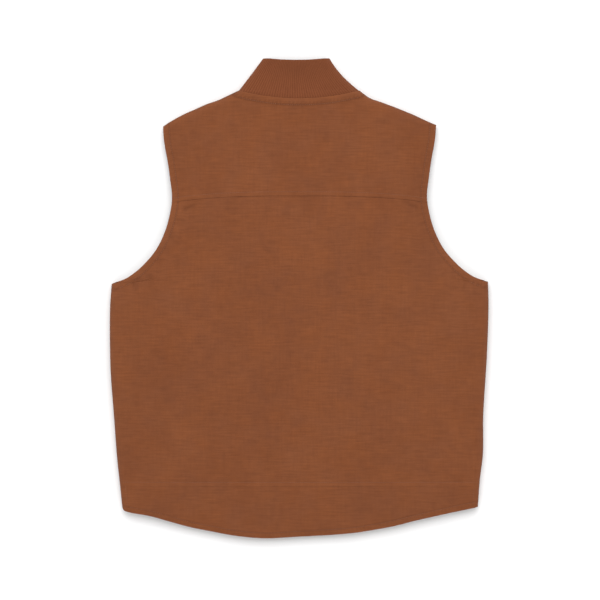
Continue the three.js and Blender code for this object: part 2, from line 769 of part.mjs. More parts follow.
add('back_yoke', backYoke(), canvas);
add('back_panel', backPanel(), canvas);
add('back_tail', backTail(), canvas);
add('front_panel_left', frontPanel(LEFT), canvas);
add('front_panel_right', frontPanel(RIGHT), canvas);
add('collar', collar(), knit);
add('front_zip', frontZip(), zip);

export default vest;
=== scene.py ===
"""Scene of a utility work vest of duck canvas with a rib-knit collar, lying on its front with the back up.

Outline sizes are in millimetres, as on a cutting table, and every mesh is in metres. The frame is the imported
part's: +Z up, +Y towards the collar, the origin in the middle of the outline on the surface the vest lies on.
"""

import logging
import math
from collections.abc import Callable
from dataclasses import dataclass
from dataclasses import field
from enum import Enum

import bmesh
import bpy
import numpy as np
from bpy.types import Material
from bpy.types import Mesh
from bpy.types import Node
from bpy.types import NodeSocket
from bpy.types import NodeTree
from bpy.types import Object
from mathutils import Matrix
from mathutils import Vector

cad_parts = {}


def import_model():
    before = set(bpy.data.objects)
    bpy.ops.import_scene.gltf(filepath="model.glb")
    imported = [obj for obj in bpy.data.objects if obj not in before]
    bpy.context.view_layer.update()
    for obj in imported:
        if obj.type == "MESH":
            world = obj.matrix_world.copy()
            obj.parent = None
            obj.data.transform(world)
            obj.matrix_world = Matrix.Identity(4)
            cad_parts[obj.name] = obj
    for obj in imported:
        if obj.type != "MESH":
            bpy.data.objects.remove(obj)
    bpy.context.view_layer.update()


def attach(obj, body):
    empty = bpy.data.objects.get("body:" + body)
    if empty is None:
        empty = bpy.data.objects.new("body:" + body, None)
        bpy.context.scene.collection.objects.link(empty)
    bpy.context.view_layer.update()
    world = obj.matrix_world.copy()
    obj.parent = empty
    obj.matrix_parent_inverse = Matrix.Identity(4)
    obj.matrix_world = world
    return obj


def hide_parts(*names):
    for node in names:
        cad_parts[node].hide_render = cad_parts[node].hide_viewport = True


log = logging.getLogger("work_vest")

Array = np.ndarray
Numbers = Array | float
Line = Callable[[Array], Array]
Colour = tuple[float, float, float, float]

MM = 0.001


class Side(Enum):
    """Side of the vest as its wearer has it, with its sign along X."""

    LEFT = -1
    RIGHT = 1


class Layer(Enum):
    """Layer of the flat lay, with the sign of its outer face along Z."""

    BACK = 1
    FRONT = -1


@dataclass(frozen=True)
class Curve:
    """Smooth curve through the rows of a table."""

    keys: tuple[float, ...]
    values: tuple[float, ...]

    def at(self, key: Numbers) -> Array:
        """Reads the curve.

        Args:
            key: Places along the table's keys.

        Returns:
            The curve's values there.
        """
        keys = np.array(self.keys)
        values = np.array(self.values)
        last = len(keys) - 1
        rows = np.arange(last + 1)
        before = np.maximum(rows - 1, 0)
        after = np.minimum(rows + 1, last)
        slope = (values[after] - values[before]) / (keys[after] - keys[before])
        i = np.clip(np.searchsorted(keys, key, side="left") - 1, 0, last - 1)
        span = keys[i + 1] - keys[i]
        t = np.clip((key - keys[i]) / span, 0, 1)
        rise = t * t * (3 - 2 * t)
        carried = t * (1 - t) * span * ((1 - t) * slope[i] - t * slope[i + 1])
        return values[i] + (values[i + 1] - values[i]) * rise + carried


SHOULDER_OUT = (0, 0.13, 0.27, 0.42, 0.56, 0.7, 0.83, 0.94, 1)
SHOULDER = {
    Side.LEFT: Curve(SHOULDER_OUT, (0, 0.14, 0.285, 0.4, 0.54, 0.675, 0.825, 0.97, 1.06)),
    Side.RIGHT: Curve(SHOULDER_OUT, (0, 0.215, 0.33, 0.455, 0.58, 0.71, 0.845, 0.955, 1.005)),
}
ARMHOLE_DOWN = (0, 0.1, 0.22, 0.34, 0.46, 0.59, 0.7, 0.79, 0.86, 0.92, 0.97, 1)
ARMHOLE_TIP = Curve(ARMHOLE_DOWN, (1, 0.855, 0.49, 0.2, 0, 0, 0, 0, 0, 0, 0, 0))
ARMHOLE_CHEST = Curve(ARMHOLE_DOWN, (0, 0, 0, 0, 0, 0.055, 0.15, 0.275, 0.425, 0.59, 0.785, 1))
SIDE_DOWN = (0, 0.12, 0.33, 0.43, 0.6, 0.76, 0.88, 1)
SIDE = {
    Side.LEFT: Curve(SIDE_DOWN, (0.095, -0.04, -0.025, 0.07, 0.33, 0.56, 0.815, 1.06)),
    Side.RIGHT: Curve(SIDE_DOWN, (0.03, 0.005, 0.145, 0.27, 0.465, 0.48, 0.755, 0.92)),
}
HEM = Curve(
    (-1, -0.95, -0.84, -0.73, -0.62, -0.5, -0.36, -0.2, -0.03, 0.18, 0.32, 0.42, 0.53, 0.64, 0.75, 0.87, 1),
    (0.125, 0.2, 0.31, 0.48, 0.65, 0.785, 0.925, 1, 0.955, 0.89, 0.815, 0.725, 0.61, 0.45, 0.31, 0.16, 0.01),
)
LIE_UP = (0, 0.07, 0.15, 0.28, 0.45, 0.6, 0.72, 0.84, 0.92, 1)
LIE_EDGE = Curve(LIE_UP, (0.3, 0.44, 0.51, 0.56, 0.59, 0.59, 0.55, 0.5, 0.47, 0.45))
LIE_CROWN = Curve(LIE_UP, (0.38, 0.52, 0.68, 0.88, 1, 0.98, 0.86, 0.68, 0.54, 0.46))
LIE_SPREAD = Curve(LIE_UP, (0.46, 0.47, 0.48, 0.49, 0.48, 0.43, 0.37, 0.34, 0.28, 0.16))


@dataclass(frozen=True)
class Pattern:
    """Sizes of the vest in millimetres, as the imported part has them."""

    chest_width: float = 610
    hem_width: float = 573
    shoulder_width: float = 442
    armhole_waist: float = 412
    neck_width: float = 195.5
    neck_shift: float = -0.9
    collar_top_width: float = 108
    collar_lean: float = -5
    back_length: float = 710
    collar_height: float = 65.5
    collar_top_dip: float = 3.3
    collar_bow_left: float = 0.3
    collar_bow_right: float = 5
    neck_rise: float = 13
    shoulder_drop: float = 55
    armhole_depth: float = 253.5
    yoke_depth: float = 158
    yoke_end_dip: float = 10
    tail_depth: float = 85
    tail_drop: float = 51.5
    front_neck_drop: float = 105
    front_hem_rise: float = 57
    front_armhole_inset: float = 5
    body_wall: float = 3
    collar_wall: float = 4
    seam_gap: float = 0.5
    crown_height: float = 44
    roll_reach: float = 13.5
    roll_shape: float = 1.15
    armhole_droop: float = 8
    droop_reach: float = 45
    rib_pitch: float = 3.2
    zip_open_width: float = 14

    @property
    def total_length(self) -> float:
        """Length from the collar's top edge to the lowest point of the hem."""
        return self.back_length + self.collar_height

    @property
    def top_y(self) -> float:
        """Y of the ends of the collar's top edge."""
        return self.total_length / 2

    @property
    def neck_y(self) -> float:
        """Y of the neck seam on the centre line."""
        return self.top_y - self.collar_height

    @property
    def shoulder_y(self) -> float:
        """Y of the ends of the neck seam."""
        return self.neck_y + self.neck_rise

    @property
    def yoke_y(self) -> float:
        """Y of the yoke seam on the centre line."""
        return self.neck_y - self.yoke_depth

    @property
    def hem_low_y(self) -> float:
        """Y of the lowest point of the hem."""
        return -self.total_length / 2

    @property
    def tail_seam_y(self) -> float:
        """Y of the seam above the drop tail."""
        return self.hem_low_y + self.tail_depth

    @property
    def front_hem_y(self) -> float:
        """Y of the hem of the front."""
        return self.hem_low_y + self.front_hem_rise

    @property
    def front_neck_y(self) -> float:
        """Y of the front neck seam at the zip."""
        return self.shoulder_y - self.front_neck_drop

    @property
    def collar_front_top_y(self) -> float:
        """Y of the collar's top edge at the zip."""
        return self.front_neck_y + self.collar_height


def spots(x: Numbers, y: Numbers) -> Array:
    """Points whose last axis holds X and Y."""
    return np.stack(np.broadcast_arrays(np.asarray(x, float), np.asarray(y, float)), -1)


def lerp(a: Numbers, b: Numbers, share: Numbers) -> Array:
    """Value a share of the way from a to b."""
    return a + (b - a) * share


def soft_step(value: Numbers) -> Array:
    """Smooth step from 0 to 1 while value runs from 0 to 1."""
    t = np.clip(value, 0, 1)
    return t * t * (3 - 2 * t)


class Outline:
    """Outline of the vest, seen from above, in millimetres."""

    def __init__(self, sizes: Pattern) -> None:
        """Keeps the sizes of the vest."""
        self.sizes = sizes

    def neck_end(self, side: Side) -> Array:
        """End of the neck seam on one shoulder."""
        s = self.sizes
        return spots(s.neck_shift + side.value * s.neck_width / 2, s.shoulder_y)

    def neck_seam(self, across: Numbers) -> Array:
        """Back neck seam, with across from -1 on the left to 1 on the right."""
        s = self.sizes
        across = np.asarray(across, float)
        return spots(s.neck_shift + across * s.neck_width / 2, s.neck_y + s.neck_rise * across**2)

    def collar_top(self, across: Numbers) -> Array:
        """Top edge of the collar's back, with across from -1 on the left to 1 on the right."""
        s = self.sizes
        across = np.asarray(across, float)
        x = s.collar_lean + across * s.collar_top_width / 2
        return spots(x, s.top_y - s.collar_top_dip * (1 - across**2))

    def collar_bow(self, side: Side) -> float:
        """How far the collar's fold on that side bows inwards."""
        return self.sizes.collar_bow_left if side is Side.LEFT else self.sizes.collar_bow_right

    def collar_fold(self, side: Side, up: Numbers) -> Array:
        """Side fold of the collar, with up from 0 at the neck to 1 at the top edge."""
        up = np.asarray(up, float)
        at = lerp(self.neck_end(side), self.collar_top(side.value), up[..., None])
        bow = self.collar_bow(side) * 4 * up * (1 - up)
        return at - side.value * spots(bow, 0)

    def shoulder(self, side: Side, out: Numbers) -> Array:
        """Shoulder seam, with out from 0 at the neck to 1 at the armhole."""
        out = np.asarray(out, float)
        neck = self.neck_end(side)
        x = lerp(neck[0], side.value * self.sizes.shoulder_width / 2, out)
        return spots(x, neck[1] - self.sizes.shoulder_drop * SHOULDER[side].at(out))

    def underarm_y(self, side: Side) -> float:
        """Y of the underarm on one side."""
        return float(self.shoulder(side, 1)[1]) - self.sizes.armhole_depth

    def hem_y(self, across: Numbers) -> Array:
        """Y of the back hem, with across from -1 on the left to 1 on the right."""
        s = self.sizes
        return s.hem_low_y + s.tail_drop - s.tail_drop * HEM.at(np.asarray(across, float))

    def side_fold(self, side: Side, down: Numbers) -> Array:
        """Fold at the side of the body, with down from 0 at the underarm to 1 at the hem."""
        s = self.sizes
        down = np.asarray(down, float)
        taper = (s.chest_width - s.hem_width) / 2
        half = s.chest_width / 2 - taper * SIDE[side].at(down)
        return spots(side.value * half, lerp(self.underarm_y(side), self.hem_y(side.value), down))

    def armhole(self, side: Side, down: Numbers, inset: float = 0) -> Array:
        """Edge of an armhole.

        Args:
            side: Side of the vest.
            down: From 0 at the shoulder to 1 at the underarm.
            inset: How much further in than the back's armhole its middle is cut.

        Returns:
            Points on the edge.
        """
        s = self.sizes
        down = np.asarray(down, float)
        waist = s.armhole_waist / 2
        tip = (s.shoulder_width / 2 - waist) * ARMHOLE_TIP.at(down)
        reach = abs(self.side_fold(side, 0)[0]) - waist
        half = waist + tip + reach * ARMHOLE_CHEST.at(down) - inset * 4 * down * (1 - down)
        y = lerp(self.shoulder(side, 1)[1], self.underarm_y(side), down)
        return spots(side.value * half, y)

    def yoke_seam_y(self, x: Numbers) -> Array:
        """Y of the yoke seam at a place across the back."""
        s = self.sizes
        return s.yoke_y - s.yoke_end_dip * (np.abs(x) / (s.armhole_waist / 2)) ** 3

    def yoke_share(self, side: Side) -> float:
        """Share of an armhole above the yoke seam."""
        s = self.sizes
        tip_y = float(self.shoulder(side, 1)[1])
        return (tip_y - (s.yoke_y - s.yoke_end_dip)) / (tip_y - self.underarm_y(side))

    def front_round(self, side: Side, turn: Numbers, end: Array, centre_y: float) -> Array:
        """Quarter round from a shoulder to the zip.

        Args:
            side: Side of the vest.
            turn: From 0 at the shoulder to 1 at the zip.
            end: Where it starts.
            centre_y: Y where it meets the zip.

        Returns:
            Points on the quarter round.
        """
        angle = np.asarray(turn, float) * math.pi / 2
        zip_x = side.value * self.sizes.zip_open_width / 2
        return spots(lerp(end[0], zip_x, 1 - np.cos(angle)), lerp(end[1], centre_y, np.sin(angle)))

    def front_neck(self, side: Side, turn: Numbers) -> Array:
        """Front neck seam, with turn from 0 at the shoulder to 1 at the zip."""
        return self.front_round(side, turn, self.neck_end(side), self.sizes.front_neck_y)

    def front_collar_top(self, side: Side, turn: Numbers) -> Array:
        """Front of the collar's top edge, with turn from 0 at the side fold to 1 at the zip."""
        return self.front_round(side, turn, self.collar_top(side.value), self.sizes.collar_front_top_y)


@dataclass(frozen=True)
class Nearest:
    """Nearest places on some lines: the distance, the level direction away and the length along."""

    far: Array
    away: Array
    along: Array


class Edges:
    """Lines that distances are measured from."""

    ON_EDGE = 0.5
    AT_ONCE = 4000

    def __init__(self, lines: list[Array]) -> None:
        """Splits the lines into straight steps.

        Args:
            lines: Each an array of points.
        """
        self.start = np.concatenate([line[:-1] for line in lines])
        self.run = np.concatenate([np.diff(line, axis=0) for line in lines])
        self.length = np.linalg.norm(self.run, axis=1)
        steps = [np.linalg.norm(np.diff(line, axis=0), axis=1) for line in lines]
        self.before = np.concatenate([np.cumsum(step) for step in steps]) - self.length

    def nearest(self, at: Array) -> Nearest:
        """Nearest places on the lines to some points, one a row."""
        parts = [self._nearest(at[i : i + self.AT_ONCE]) for i in range(0, len(at), self.AT_ONCE)]
        names = ("far", "away", "along")
        return Nearest(*(np.concatenate([getattr(part, name) for part in parts]) for name in names))

    def _nearest(self, at: Array) -> Nearest:
        """Finds the nearest place for a few thousand points at once."""
        ahead = at[:, None, :] - self.start[None]
        t = np.clip((ahead * self.run).sum(-1) / self.length**2, 0, 1)
        off = ahead - t[..., None] * self.run
        apart = np.linalg.norm(off, axis=-1)
        pick = apart.argmin(1)
        rows = np.arange(len(at))
        far = apart[rows, pick]
        run = self.run[pick]
        foot = at - off[rows, pick]
        across = spots(-run[:, 1], run[:, 0]) / self.length[pick, None]
        inward = np.where((across * foot).sum(1, keepdims=True) > 0, -across, across)
        off_edge = far[:, None] > self.ON_EDGE
        away = np.where(off_edge, off[rows, pick] / np.maximum(far, 1e-9)[:, None], inward)
        along = self.before[pick] + t[rows, pick] * self.length[pick]
        return Nearest(np.where(far > self.ON_EDGE, far, 0), away, along)


@dataclass(frozen=True)
class Skin:
    """Points of the outer face of the cloth, their outward normals and folds: 1 where worn, and down to -1
    where shade is painted into the colour at stitches and in crease valleys.
    """

    at: Array
    out: Array
    fold: Array


@dataclass(frozen=True)
class Band:
    """Turned band: its width in millimetres, how much it stands up and ripples, and how dark the shade painted
    at its stitches is.
    """

    width: float
    rise: float
    ripple: float
    sunk: float


@dataclass(frozen=True)
class Crease:
    """Small wrinkle that runs in from an armhole, in millimetres."""

    start: tuple[float, float]
    end: tuple[float, float]
    depth: float
    width: float = 3

    def height(self, at: Array) -> Array:
        """Works out the wrinkle's valley and the low ridge beside it.

        Args:
            at: Points, one a row.

        Returns:
            Height over the plain cloth.
        """
        start, run = np.array(self.start), np.array(self.end) - self.start
        length = float(np.linalg.norm(run))
        along = (at - start) @ run / length
        past = (at - start) @ spots(-run[1], run[0]) / length
        ends = soft_step((along + self.width) / self.width / 2) * soft_step((length - along) / (0.7 * length))
        valley = np.exp(-((past / self.width) ** 2))
        ridge = 0.5 * np.exp(-(((past - 2 * self.width) / self.width) ** 2))
        return self.depth * ends * (ridge - valley)


CREASES = (
    Crease((-187, 142), (-157, 155), 1.4),
    Crease((-199, 128), (-176, 121), 0.9),
    Crease((-268, 26), (-261, 6), 1.1, 2.5),
    Crease((-243, 38), (-230, 22), 0.8),
    Crease((190, 145), (163, 157), 1.1),
    Crease((203, 122), (180, 113), 0.9),
    Crease((267, 25), (258, 4), 0.7, 2.5),
    Crease((236, 44), (224, 30), 0.6),
)


@dataclass(frozen=True)
class Needlework:
    """How the turned bands and seams stand on the cloth, in millimetres."""

    armhole: Band = Band(width=12, rise=0.8, ripple=1.4, sunk=0.85)
    neck: Band = Band(width=12.6, rise=1.1, ripple=1.6, sunk=1.2)
    hem: Band = Band(width=10.9, rise=0.9, ripple=1.7, sunk=0.95)
    yoke: Band = Band(width=8, rise=0.55, ripple=0.8, sunk=0.35)
    tail: Band = Band(width=8, rise=0.16, ripple=0.4, sunk=0.1)
    front: Band = Band(width=8, rise=0.4, ripple=0.8, sunk=0.4)
    band_step: float = 1.6
    groove: float = 0.55
    groove_width: float = 1.1
    neck_ditch: float = 0.6
    yoke_ditch: float = 0.35
    tail_ditch: float = 0.03
    ditch_width: float = 1.2
    pucker: float = 0.22
    pucker_pitch: float = 10.5
    pucker_slant: float = 0.55
    second_pitch: float = 0.61
    pucker_reach: float = 6
    stitch_inset: float = 1.4
    side_stitch: float = 9


class Surface:
    """Where the outer faces of the back and of the front lie, with their bands, seams and soft waves."""

    WAVES = 14
    WAVE_SEED = 23
    WAVE_HEIGHT = 0.16
    WAVE_FADE = 30
    SWELL_POWER = 1.5
    EDGE_WORN = 0.3
    EDGE_REACH = 5
    PROBE = 0.5

    def __init__(self, outline: Outline, work: Needlework) -> None:
        """Lays out the edges.

        Args:
            outline: Outline of the vest.
            work: How its bands and seams stand.
        """
        self.outline = outline
        self.work = work
        run = np.linspace(0, 1, 61)
        s = outline.sizes
        both = list(Side)
        folds = [outline.collar_fold(side, np.linspace(0, 1, 13)) for side in both]
        folds += [outline.shoulder(side, np.linspace(0, 1, 25)) for side in both]
        sides = [outline.side_fold(side, np.linspace(0, 1, 49)) for side in both]
        self.closed = Edges(folds + sides)
        self.armholes = Edges([outline.armhole(side, run) for side in both])
        inset = s.front_armhole_inset
        self.front_armholes = Edges([outline.armhole(side, run, inset) for side in both])
        hem_x = lerp(-s.hem_width / 2, s.hem_width / 2, run)
        self.hem = Edges([spots(hem_x, outline.hem_y(lerp(-1, 1, run)))])
        self.neck = Edges([outline.neck_seam(np.linspace(-1, 1, 25))])
        self.sides = Edges(sides)
        rng = np.random.default_rng(self.WAVE_SEED)
        turn = rng.uniform(0, math.pi, self.WAVES)
        pitch = rng.uniform(70, 190, self.WAVES)
        self.wave_run = spots(np.cos(turn), np.sin(turn)) * (2 * math.pi / pitch)[:, None]
        self.wave_start = rng.uniform(0, 2 * math.pi, self.WAVES)
        self.pucker_start = rng.uniform(0, 2 * math.pi, 3)

    def heights(self, at: Array) -> tuple[Array, Array]:
        """Works out how high the cloth lies.

        Args:
            at: Points, one a row.

        Returns:
            Height of the seam that closes an edge, and of the back's smooth cloth.
        """
        s = self.outline.sizes
        up = (at[:, 1] - s.hem_low_y) / s.total_length
        edge = s.crown_height * LIE_EDGE.at(up)
        crown = s.crown_height * LIE_CROWN.at(up)
        spread = s.chest_width * LIE_SPREAD.at(up)
        out = np.minimum(np.abs(at[:, 0]) / spread, 1)
        swell = (1 - out * out) ** self.SWELL_POWER
        near = np.maximum(1 - self.armholes.nearest(at).far / s.droop_reach, 0)
        droop = s.armhole_droop * near**2
        return (edge - droop) / 2, lerp(edge, crown, swell) - droop

    def waves(self, at: Array) -> Array:
        """Soft waves of the cloth over a hand's width."""
        return self.WAVE_HEIGHT * np.sin(at @ self.wave_run.T + self.wave_start).sum(1)

    def puckers(self, along: Array, past: Array) -> Array:
        """Small slanting ripples that a row of stitches draws up.

        Args:
            along: Length along the row.
            past: Distance from the row.

        Returns:
            Height of the ripples.
        """
        w = self.work
        slid = along + w.pucker_slant * past
        main = np.sin(2 * math.pi * slid / w.pucker_pitch + 2.2 * np.sin(slid / 37 + self.pucker_start[0]))
        second = np.sin(2 * math.pi * slid / (w.second_pitch * w.pucker_pitch) + self.pucker_start[1])
        slow = 0.65 + 0.35 * np.sin(along / 29 + self.pucker_start[2])
        return w.pucker * slow * (main + 0.5 * second) * np.exp(-((past / w.pucker_reach) ** 2))

    def turned_band(self, far: Array, along: Array, band: Band) -> tuple[Array, Array]:
        """Relief of cloth that is turned under and stitched down.

        Args:
            far: Distance from the edge.
            along: Length along the edge.
            band: The band.

        Returns:
            Height over the plain cloth, and how worn the fold is, below 0 where shade is painted at the
            stitches and beside them.
        """
        w = self.work
        past = far - (band.width - w.stitch_inset)
        rise = band.rise * soft_step((band.width + w.band_step / 2 - far) / w.band_step)
        roll = 0.5 * band.rise * np.exp(-(((far - band.width / 2) / (band.width / 3)) ** 2))
        line = np.exp(-((past / w.groove_width) ** 2))
        ripple = band.ripple * self.puckers(along, past)
        worn = np.exp(-far / 2.2) + 0.35 * np.exp(-(((past + 2.4) / 1.6) ** 2))
        slid = along + w.pucker_slant * past
        ticks = 0.7 + 0.3 * np.sin(2 * math.pi * slid / (w.second_pitch * w.pucker_pitch))
        # Painted shade beside the stitches, where the cloth ropes up.
        roping_shade = band.sunk * (1 - ticks) * np.exp(-(((past + 2.8) / 2.4) ** 2))
        # Below 0 the fold value is painted shade, at the stitch line and beside it.
        return rise + roll - w.groove * line + ripple, worn * (1 - line) - band.sunk * ticks * line - roping_shade

    def relief(self, at: Array) -> tuple[Array, Array]:
        """Bands, seams and puckers on the back.

        Args:
            at: Points, one a row.

        Returns:
            Height over the plain cloth, and how worn the fold is, below 0 where shade is painted at the
            stitches and in crease valleys.
        """
        w = self.work
        s = self.outline.sizes
        x, y = at[:, 0], at[:, 1]
        arm = self.armholes.nearest(at)
        hem = self.hem.nearest(at)
        neck = self.neck.nearest(at)
        rise, worn = self.turned_band(arm.far, arm.along, w.armhole)
        hem_rise, hem_wear_and_shade = self.turned_band(hem.far, hem.along, w.hem)
        neck_rise, neck_wear_and_shade = self.turned_band(neck.far, neck.along, w.neck)
        neck_rise = neck_rise - w.neck_ditch * np.exp(-((neck.far / w.ditch_width) ** 2))
        below_neck = y < s.neck_y + s.neck_rise
        layers = [(rise, worn), (hem_rise, hem_wear_and_shade)]
        layers.append((np.where(below_neck, neck_rise, 0), np.where(below_neck, neck_wear_and_shade, 0)))
        seams = ((self.outline.yoke_seam_y(x), w.yoke, w.yoke_ditch), (s.tail_seam_y, w.tail, w.tail_ditch))
        for seam_y, band, depth in seams:
            above = y - seam_y
            band_rise, band_wear_and_shade = self.turned_band(np.abs(above), x, band)
            ditch = depth * np.exp(-((above / w.ditch_width) ** 2))
            below = -0.3 * depth * np.exp(above / 4)
            height = np.where(above > 0, band_rise, below) - ditch
            layers.append((height, np.where(above > 0, 0.5 * band_wear_and_shade, 0)))
        side = self.sides.nearest(at)
        low = soft_step((s.tail_seam_y + 55 - y) / 40)
        past = side.far - w.side_stitch
        groove = -w.groove * np.exp(-((past / w.groove_width) ** 2)) * low
        layers.append((groove, 0.5 * low * np.exp(-side.far / 3)))
        heights = np.array([h for h, _ in layers])
        folds = np.array([f for _, f in layers])
        joined = [each.max(0).clip(0) + each.min(0).clip(max=0) for each in (heights, folds)]
        creases = sum(crease.height(at) for crease in CREASES)
        # Crease valleys lower the fold value: painted shade in the creases.
        return joined[0] + creases, joined[1] + 0.35 * creases.clip(max=0)

    def front_relief(self, at: Array) -> tuple[Array, Array]:
        """Grooves of the stitching on the front, which lies underneath.

        Args:
            at: Points, one a row.

        Returns:
            Height over the plain cloth, never above it, and how worn the fold is, below 0 where shade is
            painted at the stitches.
        """
        w = self.work
        s = self.outline.sizes
        arm = self.front_armholes.nearest(at)
        rows = [(arm.far, arm.along, w.armhole)]
        rows.append((at[:, 1] - s.front_hem_y, at[:, 0], w.hem))
        rows.append((np.abs(at[:, 0]) - s.zip_open_width / 2, at[:, 1], w.front))
        height = np.zeros(len(at))
        worn = np.zeros(len(at))
        for far, along, band in rows:
            past = far - (band.width - w.stitch_inset)
            line = np.exp(-((past / w.groove_width) ** 2))
            height = height - w.groove * line + self.puckers(along, past).clip(max=0)
            # band.sunk lowers the fold value along the stitch groove: painted shade.
            worn = np.maximum(worn, np.exp(-np.abs(far) / 2.2)) - band.sunk * line
        return height, worn

    def skin(self, at: Array, layer: Layer, gap: float) -> Skin:
        """Outer face of the back or of the front.

        Args:
            at: Points, one a row.
            layer: Back or front.
            gap: Gap between the two at a closed edge.

        Returns:
            The face there.
        """
        s = self.outline.sizes
        seam, top = self.heights(at)
        seam_x, top_x = self.heights(at + (self.PROBE, 0))
        seam_y, top_y = self.heights(at + (0, self.PROBE))
        near = self.closed.nearest(at)
        back = layer is Layer.BACK
        goal = top if back else np.zeros_like(top)
        reach = np.minimum(s.roll_shape * seam, s.roll_reach)
        left = 1 - np.minimum(near.far / reach, 1)
        turn = np.sqrt(1 - left * left)
        raised, fold = self.relief(at) if back else self.front_relief(at)
        fade = soft_step(near.far / self.WAVE_FADE)
        waves = self.waves(at) * fade if back else 0
        z = lerp(seam + layer.value * gap / 2, goal, turn) + layer.value * raised * turn + waves
        steep = (goal - seam) * left / np.maximum(reach * turn, 1e-6)
        rises = []
        beside = ((seam_x, top_x, near.away[:, 0]), (seam_y, top_y, near.away[:, 1]))
        for other_seam, other_top, away in beside:
            goal_rise = other_top - top if back else 0
            rises.append(lerp(other_seam - seam, goal_rise, turn) / self.PROBE + steep * away)
        out = np.stack([-rises[0], -rises[1], np.ones(len(at))], -1) * layer.value
        out = out / np.linalg.norm(out, axis=1, keepdims=True)
        level = np.concatenate([-near.away, np.zeros((len(at), 1))], 1)
        out = np.where((near.far == 0)[:, None], level, out)
        edge = self.EDGE_WORN * np.exp(-near.far / self.EDGE_REACH)
        fold = np.where(fold < 0, fold, np.maximum(fold, edge))
        return Skin(np.concatenate([at, z[:, None]], 1), out, np.clip(fold, -1, 1))


def even(count: int) -> Array:
    """Shares that divide a stretch evenly, without its two ends."""
    return np.arange(1, count) / count


def spaced(length: float, start: Array, end: Array, pitch: float) -> Array:
    """Shares along a stretch with given lines near each end and even ones between.

    Args:
        length: Length of the stretch.
        start: Distances of the first lines from its start.
        end: Distances of the last lines from its end.
        pitch: Distance between the even ones.

    Returns:
        Rising shares from the first line to the last.
    """
    first, last = start[-1], length - end[-1]
    between = lerp(first, last, even(max(round((last - first) / pitch), 1)))
    return np.concatenate([start, between, length - end[::-1]]) / length


def runs(points: Array) -> float:
    """Length of a line of points."""
    return float(np.linalg.norm(np.diff(points, axis=0), axis=1).sum())


@dataclass(frozen=True)
class Patch:
    """Piece of cloth between a lower and an upper edge that run left to right and two sides that run up."""

    lower: Line
    upper: Line
    left: Line
    right: Line

    def row(self, u: Array, v: float) -> Array:
        """Points of one row.

        Args:
            u: Shares across.
            v: Share up.

        Returns:
            Points, one for each share.
        """
        w = u[:, None]
        level = lerp(self.lower(u), self.upper(u), v)
        upright = lerp(self.left(v), self.right(v), w)
        low = lerp(self.left(0), self.right(0), w)
        high = lerp(self.left(1), self.right(1), w)
        return level + upright - lerp(low, high, v)

    def ring(self, count: int) -> Array:
        """Outline of the piece, with that many points on each edge."""
        run = np.linspace(0, 1, count)
        edges = [self.lower(run), self.right(run[1:]), self.upper(run)[::-1], self.left(run[::-1])]
        return np.concatenate(edges)

    @property
    def height(self) -> float:
        """Distance between the lower and upper edges on the centre line."""
        half = np.array([0.5])
        return float(np.linalg.norm(self.upper(half) - self.lower(half)))


@dataclass(frozen=True)
class Grid:
    """Rows and columns of points on a piece of cloth, and how far its rim swells beyond each border point."""

    skin: Skin
    rows: int
    columns: int
    wall: float
    rim: Array
    uv: Array


